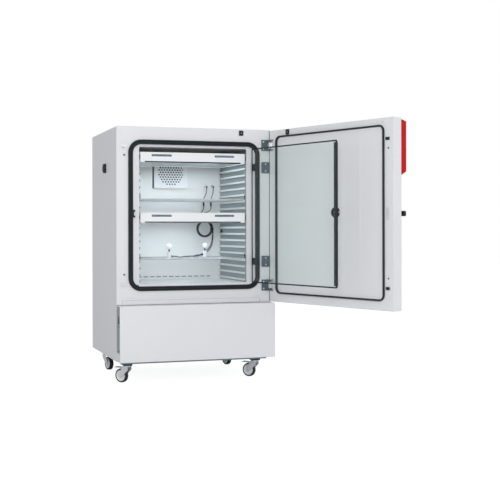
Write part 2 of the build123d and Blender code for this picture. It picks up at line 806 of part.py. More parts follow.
def fan_impeller():
    """Radial wheel on the long motor shaft."""
    back = WALL_Y + SHEET + DUCT_D - FAN_BACK_GAP
    y0 = back - FAN_DEPTH
    wheel = rod_y(FAN_X, FAN_Z, FAN_R, back - FAN_DISC_T, back)
    wheel += rod_y(FAN_X, FAN_Z, FAN_HUB_R, y0, back)
    for k in range(FAN_VANES):
        vane = block(FAN_HUB_R - 2, FAN_R, y0, back, -FAN_VANE_T / 2, FAN_VANE_T / 2)
        vane = vane.rotate(Axis.Y, 360.0 * k / FAN_VANES)
        wheel += Pos(FAN_X, 0, FAN_Z) * vane
    end = WALL_Y + SHEET + INS_BACK + MOTOR_PLATE + MOTOR_L / 2
    wheel += rod_y(FAN_X, FAN_Z, SHAFT_R, back - 1, end)
    return wheel


def fan_motor():
    y0 = WALL_Y + SHEET + INS_BACK
    y1 = y0 + MOTOR_PLATE + MOTOR_L
    half = MOTOR_PLATE_W / 2
    plate = block(FAN_X - half, FAN_X + half, y0, y0 + MOTOR_PLATE, FAN_Z - half, FAN_Z + half)
    can = rod_y(FAN_X, FAN_Z, MOTOR_R, y0 + MOTOR_PLATE, y1)
    can = fillet(can.edges().group_by(Axis.Y)[-1], MOTOR_ROUND)
    bore = rod_y(FAN_X, FAN_Z, SHAFT_R + SHAFT_FIT, y0 - 1, y1 - MOTOR_L / 2 + SHAFT_END)
    return plate + can - bore


def evaporator():
    """Fin block with its serpentine tube, standing in the air duct."""
    y = WALL_Y + SHEET + DUCT_D / 2
    x0 = -EVAP_W / 2
    z0 = EVAP_Z - EVAP_H / 2
    fins = []
    for k in range(int((EVAP_W - 2 * EVAP_FIN_IN) / FIN_PITCH) + 1):
        x = x0 + EVAP_FIN_IN + FIN_PITCH * k
        fins.append(block(x, x + FIN_T, y - EVAP_T / 2, y + EVAP_T / 2, z0, z0 + EVAP_H))
    tubes = []
    for k in range(EVAP_TUBES):
        z = z0 + EVAP_H * (k + 0.5) / EVAP_TUBES
        tubes.append(rod_x(y, z, PIPE_R, x0 + EVAP_TUBE_IN, -x0 - EVAP_TUBE_IN))
    for side in (-1, 1):
        mid = side * (EVAP_W / 2 - EVAP_HEADER)
        tubes.append(block(mid - EVAP_HEADER_IN, mid + EVAP_HEADER_IN, y - DUCT_D / 2, y + DUCT_D / 2,
                           z0, z0 + EVAP_H))
        px = side * (EVAP_W / 2 - PIPE_R)
        end = WALL_Y + SHEET + INS_BACK + PIPE_END
        tubes.append(rod_y(px, EVAP_Z + side * EVAP_H / 4, PIPE_R, y, end))
    return tubes[0].fuse(*(tubes[1:] + fins))


# Access port


def port_sleeve():
    outside = -CAB_W / 2
    inside = -ROOM_W / 2 + RIB_OUT
    r = PORT_R + SLEEVE_T
    tube = rod_x(PORT_Y, PORT_Z, r, outside, inside)
    tube += rod_x(PORT_Y, PORT_Z, PORT_FLANGE_R, outside - PORT_FLANGE_T, outside)
    return tube - rod_x(PORT_Y, PORT_Z, PORT_R, outside - 20, inside + 20)


def port_plug():
    face = -CAB_W / 2 - PORT_FLANGE_T
    head = rod_x(PORT_Y, PORT_Z, PLUG_HEAD_R, face - PLUG_HEAD_L, face - PLUG_FIT)
    head = fillet(head.edges().group_by(Axis.X)[0], PLUG_ROUND)
    return head + rod_x(PORT_Y, PORT_Z, PORT_R - PLUG_FIT, face - 1, face + PLUG_STEM_L)


# Outer door


def door_block(y0, y1, inset):
    half = CAB_W / 2 - inset
    return block(-half, half, y0, y1, DOOR_Z0 + inset, DOOR_Z1 - inset)


def door_filling(inset, y1):
    """The space inside the skin, less an even gap, with its front edges rounded to match."""
    y0 = DOOR_OUT_Y + inset
    space = door_block(y0, y1, inset)
    front = space.edges().filter_by(lambda e: abs(e.center().Y - y0) < 0.1)
    return fillet(front, DOOR_R - inset)


def hinge_pocket(z):
    half = HINGE_H / 2 + POCKET_GAP
    return block(HINGE_X - POCKET_IN, CAB_W / 2 + 9, DOOR_IN_Y - POCKET_DEEP, DOOR_IN_Y + 1,
                 z - half, z + half)


def door_skin():
    pan = door_block(DOOR_OUT_Y, DOOR_IN_Y, 0)
    outer = pan.edges().filter_by(lambda e: abs(e.center().Y - DOOR_OUT_Y) < 0.1)
    pan = fillet(outer, DOOR_R)
    pan -= door_filling(DOOR_SKIN, DOOR_IN_Y + 1)
    for z in (HINGE_TOP_Z, HINGE_LOW_Z):
        pan -= hinge_pocket(z)
    pan -= rod_y(HANDLE_X, HANDLE_Z, SPINDLE_R + 1, DOOR_OUT_Y - 5, DOOR_OUT_Y + 5)
    return opened(pan)


def latch_slot(z, deep):
    w = HOOK_HEAD_W / 2 + SLOT_MARGIN
    h = HOOK_HEAD_H / 2 + SLOT_MARGIN
    return block(LATCH_X - w, LATCH_X + w, DOOR_IN_Y - deep, DOOR_IN_Y + 5, z - h, z + h)


def rod_guide(k):
    """Bracket behind the panel, with the passage that the lock rod slides in."""
    span = LATCH_TOP_Z - LATCH_LOW_Z
    z = LATCH_LOW_Z + span * (k + 1) / (ROD_GUIDES + 1)
    if abs(z - HANDLE_Z) < ROD_GUIDE_H + SPINDLE_R:
        z = HANDLE_Z + ROD_GUIDE_H + SPINDLE_R
    fit = ROD_GUIDE_FIT
    w = ROD_W / 2 + fit
    y0 = DOOR_IN_Y - ROD_SET - ROD_T - fit
    y1 = y0 + ROD_T + 2 * fit
    t = ROD_GUIDE_T
    half = ROD_GUIDE_H / 2
    body = block(LATCH_X - w - t, LATCH_X + w + t, y0 - t, DOOR_IN_Y - SHEET, z - half, z + half)
    return body - block(LATCH_X - w, LATCH_X + w, y0, y1, z - half - 1, z + half + 1)


def door_inner_panel():
    panel = door_block(DOOR_IN_Y - SHEET, DOOR_IN_Y, DOOR_SKIN)
    half = FIELD_X
    panel += slab(-half, half, FIELD_Z0, FIELD_Z1, FIELD_R, DOOR_IN_Y - 1, DOOR_IN_Y + FIELD_RISE)
    panel -= slab(-half + SHEET, half - SHEET, FIELD_Z0 + SHEET, FIELD_Z1 - SHEET, FIELD_R - SHEET,
                  DOOR_IN_Y - SHEET - 1, DOOR_IN_Y + FIELD_RISE - SHEET)
    for z in (LATCH_TOP_Z, LATCH_LOW_Z):
        panel -= latch_slot(z, SHEET + 5)
    for z in (GUIDE_TOP_Z, GUIDE_LOW_Z):
        panel -= rod_y(LATCH_X - GUIDE_SIDE, z, GUIDE_R, DOOR_IN_Y - 9, DOOR_IN_Y + 9)
    for z in (HINGE_TOP_Z, HINGE_LOW_Z):
        panel -= hinge_pocket(z)
    for k in range(ROD_GUIDES):
        panel += rod_guide(k)
    return opened(panel)


def door_foam():
    foam = door_filling(DOOR_SKIN + DOOR_FOAM_GAP, DOOR_IN_Y - SHEET)
    w = ROD_W / 2 + CHANNEL_SIDE
    foam -= block(LATCH_X - w, LATCH_X + w, DOOR_IN_Y - SHEET - CHANNEL_DEEP, DOOR_IN_Y,
                  LATCH_LOW_Z - CHANNEL_LOW, LATCH_TOP_Z + CHANNEL_HIGH)
    foam -= rod_y(HANDLE_X, HANDLE_Z, SPINDLE_R + 2, DOOR_OUT_Y, DOOR_IN_Y)
    for z in (HINGE_TOP_Z, HINGE_LOW_Z):
        half = HINGE_H / 2 + POCKET_GAP
        foam -= block(HINGE_X - LEAF_W - 2, CAB_W / 2, DOOR_IN_Y - POCKET_DEEP - LEAF_T - 1, DOOR_IN_Y,
                      z - half, z + half)
    return opened(foam)


def contact(x, y0, y1):
    """One half of the door contact; the two lie side by side when the door is shut."""
    x0 = x - CONTACT_W / 2
    return slab(x0, x0 + CONTACT_W, CONTACT_Z1 - CONTACT_H, CONTACT_Z1, CONTACT_R, y0, y1)


def door_gasket():
    """Seal round the door's inner face, and the contact's half on the door."""
    half = DOOR_GASKET_X + DOOR_GASKET_W / 2
    edge = DOOR_GASKET_W / 2
    seal = ring(-half, half, DOOR_GASKET_Z0 - edge, DOOR_GASKET_Z1 + edge, DOOR_GASKET_R,
                DOOR_GASKET_W, DOOR_IN_Y, FRONT_Y - DOOR_GASKET_FREE)
    half_on_door = contact(CONTACT_DOOR_X, DOOR_IN_Y, DOOR_IN_Y + CONTACT_T)
    return group([opened(seal), opened(half_on_door)])


def door_hinge_pin(z):
    """Leaf in the door's pocket, with the knuckle and pin that turn in the fixed ears."""
    half = HINGE_H / 2
    y1 = DOOR_IN_Y - POCKET_DEEP
    leaf = block(HINGE_X - LEAF_W, CAB_W / 2 - DOOR_SKIN, y1 - LEAF_T, y1, z - half, z + half)
    tall = half - EAR_H - EAR_GAP
    leaf += block(HINGE_X - LEAF_NECK_IN, HINGE_X + LEAF_NECK_OUT, y1 - 1, HINGE_Y, z - tall, z + tall)
    leaf += rod_z(HINGE_X, HINGE_Y, KNUCKLE_R - 0.5, z - tall, z + tall)
    leaf += rod_z(HINGE_X, HINGE_Y, PIN_R, z - half, z + half)
    return opened(leaf)


def door_hinge_pins():
    return group([door_hinge_pin(HINGE_TOP_Z), door_hinge_pin(HINGE_LOW_Z)])


def hinge_ear(z0, z1):
    web = block(HINGE_X - EAR_WEB, HINGE_X, HINGE_Y - EAR_FRONT, FRONT_Y - EAR_BACK, z0, z1)
    ear = web + rod_z(HINGE_X, HINGE_Y, KNUCKLE_R, z0, z1)
    return ear - rod_z(HINGE_X, HINGE_Y, PIN_R + PIN_FIT, z0 - 1, z1 + 1)


def outer_hinge(z):
    half = HINGE_H / 2
    x0 = HINGE_PLATE_X0
    plate = block(x0, x0 + HINGE_PLATE_W, FRONT_Y - HINGE_PLATE_T, FRONT_Y, z - half, z + half)
    return plate + hinge_ear(z - half, z - half + EAR_H) + hinge_ear(z + half - EAR_H, z + half)


def buffer_block(z):
    x0 = HINGE_PLATE_X0
    half = BLOCK_H / 2
    return slab(x0, x0 + BLOCK_W, z - half, z + half, BLOCK_R, FRONT_Y - BLOCK_T, FRONT_Y)


def glass_ear(z0, z1):
    r = GLASS_KNUCKLE_R
    wall = MOUTH_W / 2
    web = block(GLASS_AXIS_X, wall, GLASS_AXIS_Y - r, GLASS_AXIS_Y + r, z0, z1)
    web += block(wall - GLASS_EAR_FOOT, wall, GLASS_AXIS_Y, RIM_Y - SHEET, z0, z1)
    ear = web + rod_z(GLASS_AXIS_X, GLASS_AXIS_Y, r, z0, z1)
    return ear - rod_z(GLASS_AXIS_X, GLASS_AXIS_Y, GLASS_PIN_R + PIN_FIT, z0 - 1, z1 + 1)


def hinge_blocks():
    pieces = [outer_hinge(HINGE_TOP_Z), outer_hinge(HINGE_LOW_Z)]
    pieces += [buffer_block(BLOCK_TOP_Z), buffer_block(BLOCK_LOW_Z)]
    half = GLASS_HINGE_H / 2
    for z in (BLOCK_TOP_Z, BLOCK_LOW_Z):
        pieces.append(glass_ear(z - half, z - half + GLASS_EAR_H))
        pieces.append(glass_ear(z + half - GLASS_EAR_H, z + half))
    pieces.append(contact(CONTACT_X, FRONT_Y - CONTACT_T, FRONT_Y))
    return group(pieces)


def latch_hook(z):
    """T-shaped hook that enters the door's slot."""
    w = HOOK_HEAD_W / 2
    h = HOOK_HEAD_H / 2
    tip = FRONT_Y - HOOK_REACH
    hook = block(LATCH_X - HOOK_STEM_W / 2, LATCH_X + HOOK_STEM_W / 2, tip, FRONT_Y, z - h, z + h)
    hook += block(LATCH_X - w, LATCH_X + w, tip, tip + HOOK_HEAD_T, z - h, z + h)
    plate = h + HOOK_PLATE
    hook += block(LATCH_X - w, LATCH_X + w, FRONT_Y - HOOK_HEAD_T, FRONT_Y, z - plate, z + plate)
    return hook


def glass_catch():
    x0 = -MOUTH_W / 2 + CATCH_GAP
    rim = RIM_Y - SHEET
    return block(x0, x0 + CATCH_W, rim - CATCH_OUT, rim, KNOB_Z - CATCH_H / 2, KNOB_Z + CATCH_H / 2)


def latch_catches():
    return group([latch_hook(LATCH_TOP_Z), latch_hook(LATCH_LOW_Z), glass_catch()])


def lock_claw(z):
    """Fork that slides up behind the hook's head."""
    y1 = DOOR_IN_Y - CLAW_BACK
    low = z - ROD_DROP - CLAW_H / 2
    w = HOOK_HEAD_W / 2
    claw = block(LATCH_X - w, LATCH_X + w, y1 - CLAW_T, y1, low, low + CLAW_H)
    foot = low + CLAW_FOOT
    claw -= block(LATCH_X - HOOK_STEM_W, LATCH_X + HOOK_STEM_W, y1 - 9, y1 + 9, foot, foot + CLAW_H)
    claw += block(LATCH_X - ROD_W / 2, LATCH_X + ROD_W / 2, DOOR_IN_Y - ROD_SET - ROD_T, y1, low, foot)
    return claw


def lock_rod():
    y0 = DOOR_IN_Y - ROD_SET - ROD_T
    low = LATCH_LOW_Z - ROD_DROP - CLAW_H / 2
    high = LATCH_TOP_Z - ROD_DROP - CLAW_H / 2 + CLAW_FOOT
    bar = block(LATCH_X - ROD_W / 2, LATCH_X + ROD_W / 2, y0, y0 + ROD_T, low, high)
    return opened(bar + lock_claw(LATCH_TOP_Z) + lock_claw(LATCH_LOW_Z))


def door_handle():
    """Lever handle on its spindle."""
    r = HANDLE_H / 2
    y1 = DOOR_OUT_Y - HANDLE_GAP
    y0 = DOOR_OUT_Y - HANDLE_OUT
    hub = rod_y(HANDLE_X, HANDLE_Z, r, y0, y1)
    plane = Plane.XZ.offset(-(y0 + HANDLE_ARM))
    arm = plane * Pos(HANDLE_X + HANDLE_L / 2 - r, HANDLE_Z) * RectangleRounded(HANDLE_L, HANDLE_H, r - 0.5)
    arm = extrude(arm, amount=HANDLE_ARM)
    arm = fillet(arm.edges().group_by(Axis.Y)[0], HANDLE_ROUND)
    end = DOOR_IN_Y - ROD_SET - ROD_T - SPINDLE_GAP
    spindle = rod_y(HANDLE_X, HANDLE_Z, SPINDLE_R, y1 - 1, end)
    return opened(hub + arm + spindle)


def controller_block(inset):
    """Side view of the housing, with its two sloped edges, drawn across the door."""
    y1 = DOOR_OUT_Y
    y0 = DOOR_OUT_Y - PANEL_OUT + inset
    points = [
        (y1 + inset, PANEL_Z0 + inset),
        (y0 + inset * PANEL_INSET_FOOT, PANEL_Z0 + PANEL_LOW_CUT + inset * PANEL_INSET_EDGE),
        (y0, PANEL_Z1 - PANEL_TOP_CUT - inset * PANEL_INSET_EDGE),
        (y1 + inset, PANEL_Z1 - inset),
    ]
    x0 = -CAB_W / 2 + PANEL_SET + inset
    plane = Plane.YZ.offset(x0)
    return extrude(plane * make_face(Polyline(*points, close=True)), amount=PANEL_W - 2 * inset)


def window_slab(grow, y0, y1):
    cx = -CAB_W / 2 + PANEL_SET + PANEL_W / 2
    cz = (PANEL_Z0 + PANEL_LOW_CUT + PANEL_Z1 - PANEL_TOP_CUT) / 2
    w = WINDOW_W / 2 + grow
    h = WINDOW_H / 2 + grow
    return slab(cx - w, cx + w, cz - h, cz + h, max(WINDOW_R + grow, 1.0), y0, y1)


def controller_housing():
    face = DOOR_OUT_Y - PANEL_OUT
    shell = controller_block(0) - controller_block(PANEL_WALL)
    ledge = window_slab(PANEL_WALL, face + 1, face + WINDOW_T + 2 * PANEL_WALL)
    shell = shell + ledge - window_slab(WINDOW_FIT, face - 1, face + WINDOW_T)
    return opened(shell - window_slab(-WINDOW_LEDGE, face - 1, face + PANEL_OUT))


def display_window():
    face = DOOR_OUT_Y - PANEL_OUT
    return opened(window_slab(0, face, face + WINDOW_T))


# Inner glass door


def glass_outline(grow, y0, y1):
    return slab(GLASS_X0 - grow, GLASS_X1 + grow, GLASS_Z0 - grow, GLASS_Z1 + grow, GLASS_R + grow, y0, y1)


def glass_pane():
    pane = glass_outline(0, GLASS_Y0, GLASS_Y1)
    pane -= rod_y(KNOB_X, KNOB_Z, KNOB_SHAFT_R, GLASS_Y0 - 1, GLASS_Y1 + 1)
    return glass_opened(pane)


def glass_trim():
    """Lip seal on the room side, and the grip strip along the free edge."""
    seal = ring(GLASS_X0, GLASS_X1, GLASS_Z0, GLASS_Z1, GLASS_R, SEAL_W, GLASS_Y1,
                RIM_Y - SHEET - SEAL_FREE)
    z0 = GLASS_Z0 + GLASS_R
    z1 = GLASS_Z1 - GLASS_R
    strip = block(GLASS_X0 - STRIP_T, GLASS_X0 + STRIP_W, GLASS_Y0 - STRIP_T, GLASS_Y0, z0, z1)
    strip += block(GLASS_X0 - STRIP_T, GLASS_X0, GLASS_Y0 - STRIP_T, GLASS_Y1 + STRIP_T, z0, z1)
    strip += block(GLASS_X0 - STRIP_T, GLASS_X0 + STRIP_T, GLASS_Y1, GLASS_Y1 + STRIP_T, z0, z1)
    return glass_opened(seal + strip)


def glass_hinge(z):
    half = GLASS_HINGE_H / 2
    tall = half - GLASS_EAR_H - EAR_GAP
    y1 = GLASS_Y0
    leaf = block(GLASS_X1 - GLASS_LEAF_W, GLASS_AXIS_X, y1 - GLASS_LEAF_T, y1, z - half, z + half)
    clear = GLASS_AXIS_X - 2 * GLASS_NECK
    leaf -= block(clear, GLASS_AXIS_X + 1, y1 - 9, y1 + 9, z + tall, z + half + 1)
    leaf -= block(clear, GLASS_AXIS_X + 1, y1 - 9, y1 + 9, z - half - 1, z - tall)
    leaf += block(GLASS_AXIS_X - GLASS_NECK, GLASS_AXIS_X, GLASS_AXIS_Y, y1, z - tall, z + tall)
    leaf += rod_z(GLASS_AXIS_X, GLASS_AXIS_Y, GLASS_KNUCKLE_R - 0.3, z - tall, z + tall)
    leaf += rod_z(GLASS_AXIS_X, GLASS_AXIS_Y, GLASS_PIN_R, z - half, z + half)
    return glass_opened(leaf)


def glass_hinges():
    return group([glass_hinge(BLOCK_TOP_Z), glass_hinge(BLOCK_LOW_Z)])


def glass_knob():
    """D-shaped knob with its shaft and the tongue behind it."""
    y1 = GLASS_Y0 - STRIP_T - KNOB_SET
    plane = Plane.XZ.offset(-(y1 - TONGUE_T))
    disc = plane * Pos(KNOB_X, KNOB_Z) * Circle(KNOB_R)
    disc = extrude(disc, amount=KNOB_OUT - TONGUE_T)
    wide = 2 * KNOB_R
    disc -= block(KNOB_X - wide, KNOB_X - KNOB_FLAT, y1 - wide, y1 + 9, KNOB_Z - wide, KNOB_Z + wide)
    disc = fillet(disc.edges().group_by(Axis.Y)[0], KNOB_ROUND)
    half = TONGUE_H / 2
    tongue = block(TONGUE_TIP_X, KNOB_X, y1 - TONGUE_T, y1, KNOB_Z - half, KNOB_Z + half)
    end = GLASS_Y1 + KNOB_COLLAR
    shaft = rod_y(KNOB_X, KNOB_Z, KNOB_SHAFT_R - PIN_FIT, y1 - TONGUE_T - 1, end)
    collar = rod_y(KNOB_X, KNOB_Z, KNOB_SHAFT_R + KNOB_COLLAR, GLASS_Y1 + KNOB_COLLAR_GAP, end)
    return glass_opened(disc + tongue + shaft + collar)


# Light cassettes


def cassette_z(k):
    return rib_top(k) - CAS_LOW


def cassette_front(k):
    """Front plate with its grip slots, and a cap at each end that reaches lower."""
    half = CAS_W / 2
    z0 = cassette_z(k)
    z1 = z0 + CAS_H
    y0 = CAS_Y0
    y1 = y0 + CAS_SHEET
    plate = block(-half, half, y0, y1, z0, z1)
    plate -= block(-half + CAS_CAP_W, half - CAS_CAP_W, y0 - 1, y1 + 1, z0 - 1, z1 - CAS_FRONT_H)
    z = z1 - CAS_SLOT_DROP
    for side in (-1, 1):
        x = side * CAS_SLOT_X
        plate -= slab(x - CAS_SLOT_W / 2, x + CAS_SLOT_W / 2, z - CAS_SLOT_H / 2, z + CAS_SLOT_H / 2,
                      CAS_SLOT_R, y0 - 1, y1 + 1)
    return plate


def cassette_housing(k):
    """Folded sheet hood, open below, with a runner on each side and its front plate."""
    half = CAS_W / 2
    t = CAS_SHEET
    z0 = cassette_z(k)
    z1 = z0 + CAS_H
    y0 = CAS_Y0 + t
    y1 = CAS_Y0 + CAS_D
    hood = block(-half, half, y0, y1, z0, z1)
    hood -= block(-half + t, half - t, y0 - 1, y1 - t, z0 - 1, z1 - t)
    top = rib_top(k) + RACK_LIFT
    for side in (-1, 1):
        edge = side * half
        out = side * (half + CAS_RUNNER_OUT)
        hood += block(min(edge, out), max(edge, out), y0 + CAS_RUNNER_FRONT, y1 - CAS_RUNNER_BACK,
                      top, top + CAS_RUNNER_T)
    z = z0 + DIFFUSER_LIFT + DIFFUSER_T
    hood += block(-half + t, half - t, y0, y0 + CAS_LIP, z, z + t)
    hood += block(-half + t, half - t, y1 - CAS_LIP, y1 - t, z, z + t)
    return group([hood, cassette_front(k)])


def cassette_diffuser(k):
    """Clear sheet that closes the cassette below."""
    half = CAS_W / 2 - CAS_SHEET
    z0 = cassette_z(k) + DIFFUSER_LIFT
    y0 = CAS_Y0 + CAS_SHEET
    return block(-half, half, y0, y0 + CAS_D - 2 * CAS_SHEET, z0, z0 + DIFFUSER_T)


def cassette_tubes(k):
    half = CAS_W / 2 - CAS_SHEET
    z = cassette_z(k) + CAS_H / 2 + TUBE_LIFT
    pieces = []
    for j in range(TUBE_COUNT):
        y = CAS_Y0 + CAS_D * (j + 0.5) / TUBE_COUNT
        tube = rod_x(y, z, TUBE_R, -half + 1, half - 1)
        tube += rod_x(y, z, TUBE_CAP_R, -half, -half + TUBE_CAP_L)
        tube += rod_x(y, z, TUBE_CAP_R, half - TUBE_CAP_L, half)
        pieces.append(tube)
    return group(pieces)


# Lower cover and power switch


def strip_span():
    """Front, back, lower and upper limits of the side strip."""
    y0 = DOOR_OUT_Y + STRIP_INSET
    return y0 + STRIP_FRONT, FRONT_Y - STRIP_INSET, COVER_Z0 + STRIP_FOOT, COVER_Z1 - STRIP_INSET


def lower_cover():
    half = CAB_W / 2
    box = block(-half, half, DOOR_OUT_Y, FRONT_Y + SHEET, COVER_Z0, COVER_Z1)
    box = fillet(box.edges().filter_by(Axis.Z).group_by(Axis.Y)[0], COVER_R)
    box -= block(-half + SHEET, half - SHEET, DOOR_OUT_Y + SHEET, FRONT_Y + SHEET + 1,
                 COVER_Z0 + SHEET, COVER_Z1 - SHEET)
    y0, y1, z0, z1 = strip_span()
    return box - block(-half - 1, -half + SHEET + 1, y0, y1, z0, z1)


def switch_center():
    return FRONT_Y - SWITCH_Y, SWITCH_Z


def switch_strip():
    half = CAB_W / 2
    y0, y1, z0, z1 = strip_span()
    plate = block(-half, -half + STRIP_PLATE, y0, y1, z0, z1)
    y, z = switch_center()
    w = SWITCH_W / 2
    h = SWITCH_H / 2
    plate -= block(-half - 1, -half + STRIP_PLATE + 1, y - w, y + w, z - h, z + h)
    t = SWITCH_RIM
    frame = block(-half, -half + SWITCH_DEEP + 2 * t, y - w - t, y + w + t, z - h - t, z + h + t)
    frame -= block(-half - 1, -half + SWITCH_DEEP + t, y - w, y + w, z - h, z + h)
    pin = rod_y(-half + SWITCH_DEEP / 2, z, SWITCH_PIN_R, y - w - 1, y + w + 1)
    return plate + frame + pin


def power_switch():
    """Rocker with two sloping faces, on a pin across its frame."""
    half = CAB_W / 2
    y, z = switch_center()
    w = SWITCH_W / 2 - SWITCH_FIT
    h = SWITCH_H / 2 - 3 * SWITCH_FIT - SWITCH_WAIST
    x0 = -half - SWITCH_OUT
    mid = -half + SWITCH_DEEP / 2
    keel = mid + SWITCH_KEEL
    points = [(x0, -h), (x0 + SWITCH_WAIST, 0), (-half, h), (mid, h * 0.75), (keel, SWITCH_KEEL),
              (keel, -SWITCH_KEEL), (mid, -h * 0.75)]
    profile = [(px, z + pz) for px, pz in points]
    plane = Plane.XZ.offset(-(y + w))
    rocker = extrude(plane * make_face(Polyline(*profile, close=True)), amount=2 * w)
    return rocker - rod_y(mid, z, SWITCH_PIN_R + PIN_FIT, y - w - 1, y + w + 1)


# Machine room


def compressor():
    """Sealed compressor pot on a plate with four rubber feet."""
    z0 = BASE_Z + SHEET
    x, y = COMP_X, COMP_Y
    pot = rod_z(x, y, COMP_R, z0 + COMP_FOOT_H, z0 + COMP_H)
    pot = fillet(pot.edges().filter_by(GeomType.CIRCLE), COMP_ROUND)
    half = COMP_R + COMP_PLATE_OUT
    plate_z = z0 + COMP_FOOT_H - 1
    pot += block(x - half, x + half, y - COMP_R, y + COMP_R, plate_z, plate_z + COMP_PLATE_T)
    for sx, sy in ((-1, -1), (1, -1), (-1, 1), (1, 1)):
        foot_y = y + sy * (COMP_R - COMP_PLATE_OUT)
        pot += rod_z(x + sx * COMP_R, foot_y, COMP_FOOT_R, z0, z0 + COMP_FOOT_H)
    top = z0 + COMP_H
    return pot + rod_z(x + COMP_PIPE_X, y, PIPE_R, top - COMP_FOOT_H, top + PIPE_RISE)


def condenser():
    """Fin block with two rows of tubes between its side plates."""
    z0 = BASE_Z + SHEET
    x0 = COND_X - COND_W / 2
    x1 = x0 + COND_W
    y0 = COND_Y - COND_T / 2
    y1 = COND_Y + COND_T / 2
    low = z0 + COND_FIN_CUT
    high = z0 + COND_H - COND_FIN_CUT
    fins = []
    for k in range(int((COND_W - 2 * COND_FIN_IN) / FIN_PITCH) + 1):
        x = x0 + COND_FIN_IN + FIN_PITCH * k
        fins.append(block(x, x + FIN_T, y0, y1, low, high))
    body = block(x0, x0 + COND_SIDE_T, y0, y1, z0, z0 + COND_H)
    rest = [block(x1 - COND_SIDE_T, x1, y0, y1, z0, z0 + COND_H)]
    for row in (-1, 1):
        for k in range(COND_TUBES):
            z = z0 + COND_H * (k + 0.5) / COND_TUBES
            y = COND_Y + row * COND_T / 4
            rest.append(rod_x(y, z, PIPE_R, x0 - COND_TUBE_OUT, x1 + COND_TUBE_OUT))
    return body.fuse(*(rest + fins))


def humidifier():
    """Steam boiler with its outlet pipe."""
    z0 = BASE_Z + SHEET
    top = z0 + HUMID_H
    tank = rod_z(HUMID_X, HUMID_Y, HUMID_R, z0, top)
    tank = fillet(tank.edges().group_by(Axis.Z)[-1], HUMID_ROUND)
    tank += rod_z(HUMID_X, HUMID_Y, HUMID_R + HUMID_FOOT, z0, z0 + HUMID_FOOT_T)
    return tank + rod_z(HUMID_X, HUMID_Y, HUMID_PIPE_R, top - HUMID_FOOT_T, top + PIPE_RISE)


def power_unit():
    """Open electronics tray with its blocks."""
    z0 = BASE_Z + SHEET
    t = SHEET
    x0 = POWER_X - POWER_W / 2
    y0 = POWER_Y - POWER_D / 2
    box = block(x0, x0 + POWER_W, y0, y0 + POWER_D, z0, z0 + POWER_H)
    box -= block(x0 + t, x0 + POWER_W - t, y0 + t, y0 + POWER_D - t, z0 + t, z0 + POWER_H + 1)
    for k in range(POWER_BLOCKS):
        x = x0 + POWER_BLOCK_X + POWER_BLOCK_PITCH * k
        y = y0 + POWER_BLOCK_Y
        high = z0 + POWER_BLOCK_H + POWER_BLOCK_STEP * (k % 2)
        box += block(x, x + POWER_BLOCK_W, y, y + POWER_BLOCK_D, z0 + 1, high)
    return box


# Castors


def castor_place(name):
    x = -CASTOR_X if name.endswith("left") else CASTOR_X
    y = FRONT_Y + CASTOR_FRONT if name.startswith("front") else BACK_Y - CASTOR_BACK
    return x, y


def castor_mount(name):
    x, y = castor_place(name)
    half = MOUNT_W / 2
    z0 = BASE_Z - MOUNT_H
    body = block(x - half, x + half, y - half, y + half, z0, BASE_Z)
    body = fillet(body.edges().filter_by(Axis.Z), MOUNT_R)
    return body - rod_z(x, y, KINGPIN_R + AXLE_FIT, z0 - 1, z0 + KINGPIN_L + KINGPIN_FREE)


def castor_mounts():
    return group([castor_mount(name) for name in TRAIL_ANGLES])


def place_castor(shape, name):
    """Takes a piece drawn with its trail along +X to its castor."""
    x, y = castor_place(name)
    return Pos(x, y, 0) * Rot(0, 0, TRAIL_ANGLES[name]) * shape


def castor_fork(name):
    """Swivel head with its kingpin, two cheeks and the wheel's axle."""
    top = FORK_TOP_Z
    low = top - FORK_TOP_T
    back = -CHEEK_BACK
    fork = rod_z(0, 0, FORK_TOP_R, low, top)
    fork += rod_z(0, 0, KINGPIN_R, top - 1, top + FORK_GAP + KINGPIN_L)
    end = CHEEK_LOW
    points = [(back, top - CHEEK_T), (CHEEK_BACK + 1, top - CHEEK_T), (TRAIL + end, WHEEL_R + end),
              (TRAIL + end, WHEEL_R - end), (TRAIL - end, WHEEL_R - end), (back, low - CHEEK_BACK)]
    for side in (-1, 1):
        y = side * (CHEEK_IN + CHEEK_T / 2) + CHEEK_T / 2
        plane = Plane.XZ.offset(-y)
        fork += extrude(plane * make_face(Polyline(*points, close=True)), amount=CHEEK_T)
    reach = CHEEK_IN + CHEEK_T + 1
    fork += rod_y(TRAIL, WHEEL_R, AXLE_R, -reach, reach)
    if name.startswith("front"):
        fork += rod_y(PEDAL_PIVOT_X, PEDAL_PIVOT_Z, PEDAL_PIN_R, -CHEEK_IN - 1, CHEEK_IN + 1)
    return place_castor(fork, name)


def wheel_dish(side):
    """Ring-shaped hollow in one face of the wheel, round its hub."""
    face = side * WHEEL_W / 2
    floor = face - side * WHEEL_DISH
    dish = rod_y(TRAIL, WHEEL_R, WHEEL_R - TYRE_T, min(floor, 2 * face), max(floor, 2 * face))
    return dish - rod_y(TRAIL, WHEEL_R, WHEEL_HUB_R, -WHEEL_W, WHEEL_W)


def castor_wheel(name):
    """Tyre and disc, with a dished face on each side."""
    half = WHEEL_W / 2
    wheel = rod_y(TRAIL, WHEEL_R, WHEEL_R, -half, half)
    wheel = fillet(wheel.edges().filter_by(GeomType.CIRCLE), WHEEL_ROUND)
    wheel -= wheel_dish(-1)
    wheel -= wheel_dish(1)
    return place_castor(wheel - rod_y(TRAIL, WHEEL_R, AXLE_R + AXLE_FIT, -WHEEL_W, WHEEL_W), name)


